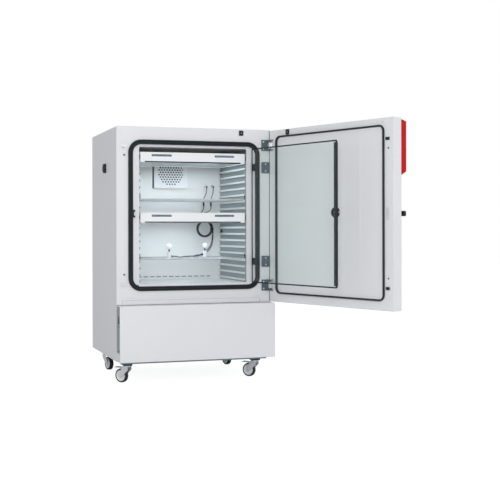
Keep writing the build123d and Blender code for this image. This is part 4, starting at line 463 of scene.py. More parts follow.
class Form:
    """Bodies in millimetres, each with its own finish."""

    def __init__(self, turn=None):
        self.mesh = bmesh.new()
        self.finishes = []
        self.turn = turn

    def take(self, body, finish, soft=0.0, rings=2, sharp=35):
        """Rounds a body's sharp edges and adds it to the piece."""
        bmesh.ops.recalc_face_normals(body, faces=body.faces)
        if soft:
            edges = [e for e in body.edges
                     if len(e.link_faces) == 2 and e.calc_face_angle(0.0) > radians(sharp)]
            bmesh.ops.bevel(body, geom=edges, offset=soft, segments=rings, profile=0.5,
                            affect="EDGES", clamp_overlap=True)
        if finish not in self.finishes:
            self.finishes.append(finish)
        for face in body.faces:
            face.material_index = self.finishes.index(finish)
            lengths = [edge.calc_length() for edge in face.edges]
            across = min(max(lengths[k], lengths[k - 2]) for k in range(len(lengths)))
            face.smooth = len(lengths) <= 4 and across < FLAT_FROM
        spare = bpy.data.meshes.new("spare")
        body.to_mesh(spare)
        body.free()
        self.mesh.from_mesh(spare)
        bpy.data.meshes.remove(spare)

    def prism(self, outline, reach, finish, soft=0.8, rings=2):
        """A flat outline drawn out along a vector."""
        body = bmesh.new()
        near = [body.verts.new(p) for p in outline]
        far = [body.verts.new(Vector(p) + Vector(reach)) for p in outline]
        body.faces.new(near)
        body.faces.new(far)
        for k in range(len(near)):
            j = (k + 1) % len(near)
            body.faces.new((near[k], near[j], far[j], far[k]))
        self.take(body, finish, soft, rings)

    def block(self, low, high, finish, soft=0.8, rings=2):
        (x0, y0, z0), (x1, y1, z1) = low, high
        outline = [(x0, y0, z0), (x1, y0, z0), (x1, y1, z0), (x0, y1, z0)]
        self.prism(outline, (0, 0, z1 - z0), finish, soft, rings)

    def turned(self, place, axis, profile, finish, steps=40, soft=0.0):
        """A profile of (radius, distance along the axis), turned round the axis."""
        body = bmesh.new()
        spin = Vector(axis).to_track_quat("Z", "Y").to_matrix()
        circles = []
        for radius, along in profile:
            count = steps if radius > 0 else 1
            circle = []
            for k in range(count):
                a = 2 * pi * k / steps
                point = Vector((radius * cos(a), radius * sin(a), along))
                circle.append(body.verts.new(Vector(place) + spin @ point))
            circles.append(circle)
        for one, two in zip(circles, circles[1:]):
            for k in range(steps):
                j = (k + 1) % steps
                corners = [one[k % len(one)], one[j % len(one)], two[j % len(two)], two[k % len(two)]]
                unique = list(dict.fromkeys(corners))
                if len(unique) > 2:
                    body.faces.new(unique)
        bmesh.ops.remove_doubles(body, verts=body.verts, dist=0.0001)
        self.take(body, finish, soft)

    def band(self, loop, profile, finish, soft=0.0, rings=2):
        """A profile of (inset, depth) carried round a loop of the front plane."""
        body = bmesh.new()
        stations = []
        for (x, z), (nx, nz) in loop:
            stations.append([body.verts.new((x - nx * inset, y, z - nz * inset)) for inset, y in profile])
        bridged(body, stations, True)
        self.take(body, finish, soft, rings)

    def screw(self, place, axis, finish, radius=3.6):
        """A round head with a socket in it."""
        r = radius
        profile = [(0, 0.5), (r * 0.42, 0.5), (r * 0.42, 1.9), (r * 0.6, 2.0), (r * 0.85, 1.6),
                   (r, 0.7), (r, 0)]
        self.turned(place, axis, profile, finish, 24)

    def piece(self, name, body, nodes=(), slot=None, angle=35):
        """Makes the object, turns it with its door, and hides the nodes that it stands for."""
        self.mesh.transform(Matrix.Scale(MM, 4))
        if self.turn is not None:
            self.mesh.transform(self.turn)
        rounded = [face.smooth for face in self.mesh.faces]
        mesh = bpy.data.meshes.new(name)
        self.mesh.to_mesh(mesh)
        self.mesh.free()
        if "custom_normal" in mesh.attributes:
            mesh.attributes.remove(mesh.attributes["custom_normal"])
        mesh.set_sharp_from_angle(angle=radians(angle))
        mesh.polygons.foreach_set("use_smooth", rounded)
        for finish in self.finishes:
            mesh.materials.append(finish)
        made = shown(name, mesh)
        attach(made, body)
        if nodes:
            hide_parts(*nodes)
        print("made", name, "with", len(mesh.polygons), "faces")
        return made


def loop(x0, x1, z0, z1, r, steps=10):
    """Points and outward directions round a rectangle with round corners."""
    corners = ((x1 - r, z1 - r, 0), (x0 + r, z1 - r, 90), (x0 + r, z0 + r, 180), (x1 - r, z0 + r, 270))
    places = []
    for cx, cz, start in corners:
        for k in range(steps + 1):
            a = radians(start + 90 * k / steps)
            places.append(((cx + r * cos(a), cz + r * sin(a)), (cos(a), sin(a))))
    return places


def ring(x0, x1, z0, z1, r, steps=4):
    """The points of such a loop, without their directions."""
    return [point for point, _ in loop(x0, x1, z0, z1, r, steps)]


def plate_outline(x0, x1, z0, z1, r, y, steps=6):
    """The corners of a rounded plate that faces the front."""
    return [(x, y, z) for x, z in ring(x0, x1, z0, z1, r, steps)]

# %% [markdown]
# ## Rounding the sheet metal
# Many nodes have the right shape and only lack the tiny rounds of folded and coated sheet. For
# those a copy of the mesh is cleaned of its triangles and bevelled along its sharp edges. The
# copy stands in for the node, whose own mesh is never touched.


# %% Softened copies of nodes
def soft_form(node, finish, width=0.9, rings=2):
    """A form that starts with the bevelled copy of a node."""
    form = Form()
    copy = bmesh.new()
    copy.from_mesh(frame["nodes"][node].data)
    copy.transform(Matrix.Scale(1 / MM, 4))
    bmesh.ops.remove_doubles(copy, verts=copy.verts, dist=0.001)
    bmesh.ops.dissolve_limit(copy, angle_limit=radians(1.0), verts=copy.verts, edges=copy.edges)
    form.take(copy, finish, width, rings)
    return form


def softened(node, finish, body, width=0.9, slot=None, rings=2):
    form = soft_form(node, finish, width, rings)
    return form.piece("soft_" + node, body, [node], slot)

# %% [markdown]
# ## The two sensor leads
# Each light sensor has a thin, fairly stiff lead. From its socket on the back wall it drops to an
# in-line connector, makes three turns in a coil that hangs on the wall, and then runs down and
# across the lower rack to its sensor. A lead is a fixed length of something springy, so it is
# drawn as one smooth spline through the points that settle its route.
# A spline of order 3 cuts a little inside its points, so the coil's points stand further out.

# %% The leads' routes
BACK = BACK_WALL / MM
LEAD = 5.0
COIL_CENTRE = (205.0, 878.0)
COIL_RADIUS = 54.0
COIL_NARROWS = 12.0
QUARTERS = 13
LEAD_LEVEL = 709.6
STUB_LEVEL = 718.8
SPLINE_OUT = 1 / cos(radians(15))
UPPER_LEADS = (
    [(227, 25, 1136), (227, 25, 1121), (223, 27, 1099), (211, 30, 1080), (204, 33, 1066),
     (204, 33, 1052)],
    [(271, 25, 1136), (271, 25, 1121), (267, 27, 1099), (258, 30, 1080), (252, 33, 1066),
     (252, 33, 1052)],
)
ABOVE_COIL = (
    [(204, 33, 1018), (204, 33, 1002), (190, 35, 983), (172, 37, 964), (171, 38, 944), (186, 39, 932)],
    [(252, 33, 1018), (252, 33, 1002), (239, 36, 988), (203, 43, 978), (175, 48.5, 966),
     (170.5, 49.5, 949), (180, 50.6, 932)],
)
BELOW_COIL = (
    [(256, 47, 824), (250, 53, 796), (238, 62, 769), (216, 71, 745), (187, 79, 726), (153, 86, 713),
     (112, 98, LEAD_LEVEL), (66, 125, LEAD_LEVEL), (30, 168, LEAD_LEVEL), (5, 221, LEAD_LEVEL),
     (-18, 277, LEAD_LEVEL), (-44, 329, LEAD_LEVEL), (-60, 375, LEAD_LEVEL + 1),
     (-74.5, 403, STUB_LEVEL), (-100.5, 403, STUB_LEVEL)],
    [(256, 61, 822), (250, 70, 794), (239, 81, 767), (221, 91, 744), (196, 99, 727),
     (166, 104, 715), (134, 108, LEAD_LEVEL + 0.5), (107, 119, LEAD_LEVEL), (94, 140, LEAD_LEVEL),
     (99, 161, LEAD_LEVEL + 1), (117.5, 168, STUB_LEVEL), (143.5, 168, STUB_LEVEL)],
)


def coil_points(k):
    """Twelve points a turn: spiral in, step to the front layer, spiral out."""
    points = []
    for step in range(3 * QUARTERS + 1):
        j = step / 3
        angle = radians(90 - 90 * j)
        radius = (COIL_RADIUS - COIL_NARROWS * 2 * min(j, QUARTERS - j) / QUARTERS) * SPLINE_OUT
        layer = min(max((j - 6) / 2, 0), 1)
        depth = 39 + 5.8 * (2 * k + layer)
        points.append((COIL_CENTRE[0] + radius * cos(angle), depth, COIL_CENTRE[1] + radius * sin(angle)))
    return points


def lead_route(k):
    coil = coil_points(k)
    first, last = coil[0][1], coil[-1][1]
    return (ABOVE_COIL[k] + [(200, first, 932)] + coil[1:-1]
            + [(259, last, 873), (259, last, 853)] + BELOW_COIL[k])


# %% The leads as curves
def lead_curve(name, route, finish):
    curve = bpy.data.curves.new(name, "CURVE")
    curve.dimensions = "3D"
    curve.bevel_depth = LEAD / 2 * MM
    curve.bevel_resolution = 4
    curve.resolution_u = 5
    curve.use_fill_caps = True
    spline = curve.splines.new("NURBS")
    spline.points.add(len(route) - 1)
    for point, (x, depth, z) in zip(spline.points, route):
        point.co = (x * MM, (BACK - depth) * MM, z * MM, 1)
    spline.order_u = 3
    spline.use_endpoint_u = True
    curve.materials.append(finish)
    made = shown(name, curve)
    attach(made, "cabinet")
    return made


# %% [markdown]
# ## Connectors, tie and sockets
# The in-line connectors are small black barrels with a knurled ring and tapered ends. A flat
# strap holds the two coils together. On the wall, each socket is a threaded ring with an angled
# plug that lets the lead leave downwards. All of them are round parts, so they are turned.

# %% Connectors and tie
def knurled(form, place, axis, radius, start, end, finish, teeth=28):
    """A ring with fine grooves along the axis."""
    body = bmesh.new()
    spin = Vector(axis).to_track_quat("Z", "Y").to_matrix()
    circles = []
    for along, shrink in ((start, 0.5), (start + 0.6, 0.0), (end - 0.6, 0.0), (end, 0.5)):
        circle = []
        for k in range(2 * teeth):
            a = pi * k / teeth
            r = radius - shrink - (0.35 if k % 2 else 0.0)
            circle.append(body.verts.new(Vector(place) + spin @ Vector((r * cos(a), r * sin(a), along))))
        circles.append(circle)
    bridged(body, circles, False)
    body.faces.new(circles[0])
    body.faces.new(circles[-1])
    form.take(body, finish)


def lead_connector(k, x):
    form = Form()
    place = (x, BACK - 33, 1018)
    barrel = [(0, 0), (3.3, 0), (4.0, 1.2), (4.3, 6.5), (4.3, 27.5), (4.0, 32.8), (3.3, 34), (0, 34)]
    form.turned(place, UP, barrel, BLACK_PLASTIC)
    knurled(form, place, UP, 5.5, 7.0, 17.0, BLACK_PLASTIC)
    form.turned(place, UP, [(4.2, 18.0), (5.3, 18.4), (5.3, 26.4), (4.2, 27.0)], BLACK_PLASTIC)
    return form.piece("lead_connector_%d" % k, "cabinet", ["lead_connectors"], "black_plastic")


def coil_tie():
    form = Form()
    x0, x1 = 243.3, 262.7
    y1 = BACK - 39 + 3.7
    y0 = y1 - 17.4 - 6.4 - 1.0
    frame_line = loop(x0, x1, y0, y1, 3.0, 5)
    body = bmesh.new()
    stations = []
    for (x, y), (nx, ny) in frame_line:
        stations.append([body.verts.new((x - nx * inset, y - ny * inset, z))
                         for inset, z in ((0, 874.0), (0, 882.0), (1.4, 882.0), (1.4, 874.0))])
    bridged(body, stations, True)
    form.take(body, BLACK_PLASTIC, 0.25, 1)
    form.block((250, y0 - 3.2, 873.2), (257, y0 + 0.4, 882.8), BLACK_PLASTIC, 0.8)
    return form.piece("coil_tie", "cabinet", ["lead_connectors"], "black_plastic")


connectors = [lead_connector(k, x) for k, x in enumerate((204.0, 252.0))]
tie = coil_tie()

# %% Hang the leads
for k in range(2):
    upper = lead_curve("lead_upper_%d" % k, UPPER_LEADS[k], LEAD_JACKET)
    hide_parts("sensor_leads")
    route = lead_route(k)
    lower = lead_curve("lead_main_%d" % k, route, LEAD_JACKET)
    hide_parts("sensor_leads", "lead_coils")
    print("lead", k, "has", len(route), "points")


# %% Wall sockets with their angled plugs
def wall_socket(k, x):
    form = Form()
    wall = (x, BACK, 1152.0)
    nut = [(0, -12), (4.5, -12), (4.5, 0), (9.0, 0), (9.0, 2.6), (8.4, 3.2), (7.4, 3.4), (7.4, 9.4),
           (6.6, 10.0), (0, 10.0)]
    cap = [(5.4, 22.8), (6.1, 23.4), (6.1, 30.4), (4.8, 31.8), (0, 32.0)]
    elbow = [(0, 0), (3.4, 0), (3.9, 2.0), (4.4, 6.0), (5.0, 8.0), (5.0, 15.0), (3.6, 18.6), (0, 19.4)]
    form.turned(wall, OUTWARD, nut, ZINC)
    form.turned(wall, OUTWARD, [(5.2, 9.8), (5.8, 10.4), (5.8, 13.0), (0, 13.0)], BLACK_PLASTIC)
    knurled(form, wall, OUTWARD, 6.5, 12.6, 23.0, GREY_PLASTIC)
    form.turned(wall, OUTWARD, cap, GREY_PLASTIC)
    form.turned((x + 3.0, BACK - 25.0, 1136.0), UP, elbow, BLACK_PLASTIC)
    return form.piece("wall_socket_%d" % k, "cabinet", ["lead_sockets"], "black_plastic")


for k, x in enumerate((224.0, 268.0)):
    wall_socket(k, x)

# %% [markdown]
# ## The light sensors
# Each sensor is a small turned housing with an opal ball on a short neck, which gathers light
# from all sides. The ball is plastic, not glass, so it is white and softly glossy, and a weak
# emission paints in a faint glow, as if the room lit it from within. It has a seam where its two
# halves are welded.


# %% Sensors
def light_sensor(name, x, y, side):
    form = Form()
    foot = (x, y, 706.8)
    can = [(0, 0), (12.0, 0), (12.5, 0.6), (12.5, 5.0), (12.1, 5.4), (12.1, 6.2), (12.5, 6.6),
           (12.5, 31.5), (11.6, 34.6), (9.2, 36.0), (5.6, 36.2), (5.4, 38.0), (0, 38.0)]
    neck = [(4.6, 36.5), (4.5, 52.0), (6.4, 53.4), (6.4, 54.6), (0, 54.6)]
    form.turned(foot, UP, can, WHITE_PLASTIC)
    form.turned(foot, UP, neck, BLACK_PLASTIC)
    ball = []
    for k in range(25):
        a = radians(-90 + 180 * k / 24)
        r = 17.0 - (0.35 if k == 12 else 0.0)
        ball.append((max(r * cos(a), 0.0) if 0 < k < 24 else 0.0, 68.0 + r * sin(a)))
    form.turned(foot, UP, ball, SENSOR_OPAL, 48)
    sleeve = [(0, 0), (5.4, 0), (5.4, 2.4), (4.0, 3.2), (3.8, 6.0), (4.0, 6.4), (3.7, 9.0), (3.9, 9.4),
              (3.3, 13.0), (0, 13.0)]
    form.turned((x + side * 11.5, y, STUB_LEVEL), (side, 0, 0), sleeve, BLACK_PLASTIC, 28)
    return form.piece(name, "cabinet", ["light_sensors"], "sensor_white")


light_sensor("light_sensor_left", -125.0, BACK - 403.0, 1)
light_sensor("light_sensor_right", 168.0, BACK - 168.0, -1)

# %% [markdown]
# ## Seals
# The wide gasket round the mouth is a hollow rubber section: two rounded lips with a flat web
# between them that catches the light. It runs in one length round the mouth, so one profile is
# carried round a rounded rectangle. The outer door has a much thinner bead, and it is drawn with
# the door shut and then turned.

# %% Gasket round the mouth
gasket_low, gasket_high = box_mm("chamber_gasket")
gasket = Form()
mouth_line = loop(gasket_low.x, gasket_high.x, gasket_low.z, gasket_high.z, 75.0, 14)
seat = gasket_high.y
lips = [(0.5, 3.2), (2.2, 0.7), (4.5, 0.0), (6.8, 0.8), (8.2, 3.0), (9.0, 6.0), (9.8, 6.2), (10.6, 2.4),
        (11.4, 1.6), (16.2, 1.6), (17.0, 2.4), (17.8, 6.2), (18.6, 6.0), (19.4, 2.8), (21.0, 0.8),
        (23.2, 0.2), (25.4, 1.2), (26.8, 4.0)]
raised = [(inset, gasket_low.y + depth) for inset, depth in lips]
gasket_profile = [(0.2, seat), (0.0, seat - 3)] + raised + [(27.0, seat - 3), (26.8, seat)]
gasket.band(mouth_line, gasket_profile, SEAL_RUBBER)
gasket.piece("mouth_gasket", "cabinet", ["chamber_gasket"], "seal_rubber", 50)

# %% Gasket and contact on the outer door
DOOR_FACE = DOOR_INSIDE / MM
DOOR_BACK = DOOR_OUTSIDE / MM
bead = Form(OUTER_TURN)
door_line = loop(-405.5, 405.5, 499.0, 1420.0, 35.0, 10)
bead_profile = [(0.0, 0.0), (0.0, 3.0), (1.2, 4.2), (0.6, 7.0), (1.2, 11.0), (2.6, 13.2), (4.0, 13.7),
                (5.4, 13.2), (6.8, 11.0), (7.4, 7.0), (6.8, 4.2), (8.0, 1.4), (9.8, 1.2), (10.2, 0.8),
                (10.2, 0.0)]
bead.band(door_line, [(inset, DOOR_FACE + rise) for inset, rise in bead_profile], SEAL_RUBBER)
bead.prism(plate_outline(297, 323, 1422, 1452, 3.0, DOOR_FACE), (0, 6, 0), BLACK_PLASTIC, 1.2)
bead.block((307, DOOR_FACE + 5.6, 1435.5), (313, DOOR_FACE + 6.6, 1438.5), GREY_PLASTIC, 0.4)
bead.piece("door_bead_gasket", "outer_door", ["door_gasket"], "seal_rubber", 50)

# %% [markdown]
# ## Hinges, catches and the door contact
# On the cabinet's right edge sit two hinge blocks with round ears, and two plain blocks that the
# glass door's hinges stand beside. All are a dark blue-grey, glass-filled plastic. The catches on
# the left are bright pressed steel: a T for the upper slot of the door and the same part turned
# over for the lower one.


# %% Hinge side
FRONT_MM = FRONT / MM
OUTER_HINGES = (1369.0, 547.0)
GLASS_HINGES = (1238.0, 687.0)
CATCHES = (1345.0, 568.0)
OUTER_PIN = (458, -367)
GLASS_PIN = (356, -347)


def outer_hinge(form, z):
    form.block((408, FRONT_MM - 8, z - 32), (448, FRONT_MM, z + 32), BLOCK_PLASTIC, 1.6, 3)
    for dz in (-20, 20):
        form.screw((419, FRONT_MM - 8, z + dz), OUTWARD, ZINC, 4.6)
    for low in (z - 32, z + 18):
        form.block((434, -370, low), (458, -360, low + 14), BLOCK_PLASTIC, 1.0)
        eye = [(4.06, 0), (6.2, 0), (7.0, 0.8), (7.0, 13.2), (6.2, 14), (4.06, 14)]
        form.turned((*OUTER_PIN, low), UP, eye, BLOCK_PLASTIC, 32)


def side_block(form, z):
    form.prism(plate_outline(408, 454, z - 32, z + 32, 5.0, FRONT_MM - 12), (0, 12, 0), BLOCK_PLASTIC, 1.4, 3)
    form.block((414, FRONT_MM - 12.8, z - 3), (448, FRONT_MM - 11.5, z + 3), BLOCK_PLASTIC, 0.4)
    for dz in (-20, 20):
        form.screw((431, FRONT_MM - 11, z + dz), OUTWARD, ZINC, 4.6)


def glass_ear(form, low):
    form.block((356, -351.5, low), (368, -342.5, low + 9), BLACK_PLASTIC, 0.6)
    form.block((358, -347, low), (368, -329, low + 9), BLACK_PLASTIC, 0.6)
    form.turned((*GLASS_PIN, low), UP, [(2.6, 0), (4.5, 0), (4.5, 9), (2.6, 9)], BLACK_PLASTIC, 28)


hinge_side = Form()
for z in OUTER_HINGES:
    outer_hinge(hinge_side, z)
for z in GLASS_HINGES:
    side_block(hinge_side, z)
    glass_ear(hinge_side, z - 20)
    glass_ear(hinge_side, z + 11)
hinge_side.prism(plate_outline(269, 295, 1422, 1452, 3.0, FRONT_MM - 6), (0, 6, 0), BLACK_PLASTIC, 1.2)
hinge_side.block((279, FRONT_MM - 6.6, 1435.5), (285, FRONT_MM - 5.6, 1438.5), GREY_PLASTIC, 0.4)
hinge_side.piece("hinge_side_blocks", "cabinet", ["hinge_blocks"], "block_plastic")

# %% Catches
latch = Form()
for z in CATCHES:
    latch.prism(plate_outline(-436, -412, z - 11, z + 11, 2.5, FRONT_MM - 3), (0, 3, 0), ZINC, 0.6)
    latch.block((-427, FRONT_MM - 28, z - 5), (-421, FRONT_MM - 2, z + 5), ZINC, 0.7)
    latch.prism(plate_outline(-436, -412, z - 5, z + 5, 2.0, FRONT_MM - 30), (0, 3, 0), ZINC, 0.7)
    for dz in (-8, 8):
        latch.screw((-424, FRONT_MM - 3, z + dz), OUTWARD, ZINC, 2.2)
latch.prism(plate_outline(-367.5, -357.5, 943, 987, 2.0, -340.5), (0, 11.5, 0), BLACK_PLASTIC, 1.2)
for low, high in ((943.0, 954.5), (975.5, 987.0)):
    latch.prism(plate_outline(-367.5, -355.0, low, high, 1.5, -361.0), (0, 22.0, 0), BLACK_PLASTIC, 1.2)
latch.piece("door_catches", "cabinet", ["latch_catches"], "black_plastic")

# %% [markdown]
# ## Trim on the cabinet's front
# The sill strip's screws and seams, the plugs of the two guide holes, and a small rubber bumper
# in the mouth's corner are too small for the main model, but they are what makes a sheet front
# look like a real one.

# %% Screws, bushes and bumper
front_trim = Form()
for x in (-373, -9, 373):
    front_trim.screw((x, FRONT_MM, 479), OUTWARD, ZINC, 4.2)
for z in (1296, 620):
    bush = [(5.0, -2.2), (5.0, 0.6), (7.2, 1.0), (7.6, 0.4), (7.6, 0)]
    front_trim.turned((-418, FRONT_MM, z), OUTWARD, bush, GREY_PLASTIC, 28)
bumper = [(4.8, 0), (4.8, 5.6), (3.4, 7.2), (0, 7.6)]
front_trim.turned((-334, -329, 556), OUTWARD, bumper, SEAL_RUBBER, 24)
front_trim.block((457.5, FRONT_MM - 3.2, 452), (462.2, FRONT_MM, 1455), SEAL_RUBBER, 0.8)
for x0, x1, z0, z1 in ((-430.0, 395.0, 473.4, 474.4), (-430.0, -428.6, 447.0, 473.6),
                       (395.0, 396.4, 447.0, 473.6)):
    front_trim.block((x0, FRONT_MM - 0.4, z0), (x1, FRONT_MM + 0.3, z1), STRIP_PAINT, 0.15, 1)
front_trim.piece("front_trim", "cabinet", slot="zinc_steel")

# %% [markdown]
# ## The outer door's handle side
# The door's inner face has slots that the catches enter, a screwed plate behind the handle and a
# small pad. The handle itself is a lever of glass-filled plastic with generous rounds. The lock
# plates are bright metal, and the slots look dark because the channel behind them is deep.

# %% Inner face fittings
inner = Form(OUTER_TURN)
inner.prism(plate_outline(-437, -417, 927, 987, 4.0, DOOR_FACE), (0, 2.0, 0), ZINC, 0.6)
for z in (937, 977):
    inner.screw((-427, DOOR_FACE + 2.0, z), (0, 1, 0), ZINC, 4.4)
for z in CATCHES:
    low, high = z - 8, z + 8
    for x0, x1, z0, z1 in ((-443.5, -404.5, low - 4, low), (-443.5, -404.5, high, high + 4),
                           (-443.5, -439.2, low, high), (-408.8, -404.5, low, high)):
        inner.block((x0, DOOR_FACE, z0), (x1, DOOR_FACE + 1.0, z1), GREY_PLASTIC, 0.4)
inner.prism(plate_outline(-399, -389, 1430, 1438, 2.0, DOOR_FACE), (0, 3.0, 0), GREY_PLASTIC, 0.8)
inner.piece("door_inner_fittings", "outer_door", slot="zinc_steel")

# %% Handle
handle = Form(OUTER_TURN)
hx, hz = -427.0, 957.0
face = DOOR_BACK
boss = [(0, 0), (14.4, 0), (15.4, 1.0), (15.4, 5.0), (12.5, 8.0), (11.6, 21.0)]
button = [(6.4, -0.4), (6.4, 0.5), (5.6, 0.9), (0, 0.9)]
handle.turned((hx, face - 0.3, hz), OUTWARD, boss, BLACK_PLASTIC, 40)
arm = plate_outline(hx - 33.0, hx + 137.0, hz - 14.0, hz + 14.0, 6.0, face - 37.0)
handle.prism(arm, (0, 16.0, 0), BLACK_PLASTIC, 3.2, 4)
handle.turned((hx, face + 40.0, hz), OUTWARD, [(0, 0), (5.0, 0), (5.0, 41.0)], ZINC, 24)
handle.turned((hx, face - 37.0, hz), OUTWARD, button, BLACK_PLASTIC, 32)
handle.piece("door_lever_handle", "door_lever", ["door_handle"], "black_plastic")

# %% [markdown]
# ## The controller
# A shallow red housing sits on the upper half of the door's outside. It has chamfered upper and
# lower edges, a dark display window set a little back, and plain keys under it. Nothing is
# printed on it. The long edges of a moulding are well rounded, so they are bevelled by 3 mm.

# %% Red housing with its window and keys
housing = Form(OUTER_TURN)
px0, px1 = -462.0, -42.0
pz0, pz1 = 1157.0, 1447.0
deep = face - 37.0
side_view = [(px0, face, pz0), (px0, deep, pz0 + 19), (px0, deep, pz1 - 9), (px0, face, pz1)]
housing.prism(side_view, (px1 - px0, 0, 0), RED_PLASTIC, 3.2, 4)
wx0, wx1, wz0, wz1 = -350.0, -154.0, 1246.0, 1368.0
rim = loop(wx0 - 7, wx1 + 7, wz0 - 7, wz1 + 7, 9.0, 8)
bezel = [(0, 0.5), (0.8, -1.2), (2.2, -1.6), (5.2, -1.6), (6.6, -0.4), (7.0, 0.5)]
housing.band(rim, [(inset, deep + rise) for inset, rise in bezel], BLACK_PLASTIC)
for k in range(6):
    kx = wx0 + 10 + 35.2 * k
    housing.prism(plate_outline(kx - 11, kx + 11, 1202, 1216, 4.0, deep - 2.2), (0, 2.6, 0), GREY_PLASTIC, 0.9)
dial = [(0, -0.4), (21.0, -0.4), (21.0, 0.8), (20.0, 1.6), (14.5, 1.8), (13.6, 1.0)]
housing.turned((-92, deep, 1307), OUTWARD, dial, BLACK_PLASTIC, 48)
dial_cap = [(13.0, 0.4), (13.0, 2.6), (11.6, 3.6), (0, 4.0)]
housing.turned((-92, deep, 1307), OUTWARD, dial_cap, GREY_PLASTIC, 48)
housing.piece("controller_body", "outer_door", ["controller_housing"], "red_plastic")

window = Form(OUTER_TURN)
window.prism(plate_outline(wx0, wx1, wz0, wz1, 5.0, deep - 1.0), (0, 3.0, 0), SCREEN, 0.5)
lit = plate_outline(wx0 + 10, wx1 - 10, wz0 + 12, wz1 - 10, 2.0, deep - 1.15)
window.prism(lit, (0, 0.4, 0), LIT_SCREEN, 0.1, 1)
window.piece("controller_window", "outer_door", ["display_window"], "screen")

# %% [markdown]
# ## The glass door
# A 6 mm pane with polished, slightly green edges. A black lip seal runs round its room side, a
# grip strip covers the free edge, and a D-shaped knob with a steel tongue closes it. The pane is
# one prism with a bevelled rim, so that the edge shows as a thin dark green line.

# %% Pane
GLASS_FACE, GLASS_REAR = (corner.y / MM for corner in shut_box("glass_pane", GLASS_TURN))
GLASS_CORNER = 8.0
pane = Form(GLASS_TURN)
sheet_line = plate_outline(-352, 349, 562, 1349, GLASS_CORNER, GLASS_FACE + 0.4)
body = bmesh.new()
near = [body.verts.new(p) for p in sheet_line]
far = [body.verts.new((x, GLASS_REAR - 0.4, z)) for x, y, z in sheet_line]
body.faces.new(near)
body.faces.new(far)
pane.take(body, DOOR_GLASS)
rim_line = loop(-352, 349, 562, 1349, GLASS_CORNER, 6)
pane.band(rim_line, [(0.7, GLASS_FACE), (0, GLASS_FACE + 0.7), (0, GLASS_REAR - 0.7), (0.7, GLASS_REAR),
                     (1.6, GLASS_REAR), (1.6, GLASS_FACE)], GLASS_EDGE)
pane.piece("glass_sheet", "glass_door", ["glass_pane"], "door_glass")

# %% Lip seal and grip strip
trim = Form(GLASS_TURN)
lip_profile = [(1.4, 0.0), (1.2, 1.4), (2.2, 2.2), (3.0, 3.4), (4.0, 3.9), (5.0, 3.1), (5.4, 2.0), (7.4, 1.2),
               (7.8, 0.0)]
trim.band(rim_line, [(inset, GLASS_REAR + rise) for inset, rise in lip_profile], SEAL_RUBBER)
z0, z1 = 574.0, 1337.0
front_y, rear_y = GLASS_FACE - 1.6, GLASS_REAR + 1.6
grip = [(-353.6, front_y), (-324.0, front_y), (-324.0, GLASS_FACE), (-352.0, GLASS_FACE),
        (-352.0, GLASS_REAR), (-350.4, GLASS_REAR), (-350.4, rear_y), (-353.6, rear_y)]
trim.prism([(x, y, z0) for x, y in grip], (0, 0, z1 - z0), BLACK_PLASTIC, 0.35, 1)
trim.piece("glass_edge_trim", "glass_door", ["glass_trim"], "seal_rubber")

# %% Hinges of the glass door
leaves = Form(GLASS_TURN)
for z in GLASS_HINGES:
    leaves.prism(plate_outline(317, 346, z - 20, z + 20, 3.0, GLASS_FACE - 2), (0, 2.0, 0), BLACK_PLASTIC, 0.5)
    leaves.block((340, GLASS_FACE - 2, z - 10.5), (356, GLASS_FACE, z + 10.5), BLACK_PLASTIC, 0.4)
    leaves.turned((*GLASS_PIN, z - 10.5), UP, rod(4.2, 21), BLACK_PLASTIC, 28)
    leaves.turned((*GLASS_PIN, z - 20), UP, rod(2.5, 40), ZINC, 20)
    leaves.block((352, -347, z - 10.5), (356, GLASS_FACE, z + 10.5), BLACK_PLASTIC, 0.3)
    for dz in (-12, 12):
        leaves.screw((326, GLASS_FACE - 2, z + dz), OUTWARD, ZINC, 3.0)
leaves.piece("glass_hinge_leaves", "glass_door", ["glass_hinges"], "zinc_steel")

# %% D-shaped knob and its tongue
knob = Form(GLASS_TURN)
kx, kz = -322.5, 965.0
rear = GLASS_FACE - 1.6 - 1.0
d_shape = []
flat = radians(35.1)
for k in range(29):
    a = (pi - flat) * (k - 14) / 14
    d_shape.append((kx + 27.5 * cos(a), rear - 20, kz + 27.5 * sin(a)))
knob.prism(d_shape, (0, 17, 0), BLACK_PLASTIC, 2.6, 4)
bevel = [(18.5, -0.3), (18.5, 0.2), (17.6, 0.7), (14.0, 0.8), (13.2, 0.1)]
knob.turned((kx, rear - 20, kz), OUTWARD, bevel, BLACK_PLASTIC, 40)
knob.block((-365.5, rear - 3, kz - 8), (kx + 8, rear, kz + 8), BLACK_PLASTIC, 0.6)
knob.block((-365.3, rear - 2.2, kz - 6), (-356, rear + 0.2, kz + 6), ZINC, 0.3)
knob.turned((kx, rear - 4, kz), INWARD, rod(4.95, GLASS_REAR + 2 - rear + 4), ZINC, 24)
collar = [(4.9, 0), (8.0, 0), (8.0, 2.0), (7.2, 2.7), (0, 2.9)]
knob.turned((kx, GLASS_REAR + 0.3, kz), INWARD, collar, BLACK_PLASTIC, 32)
knob.piece("glass_door_knob", "glass_latch", ["glass_knob"], "black_plastic")
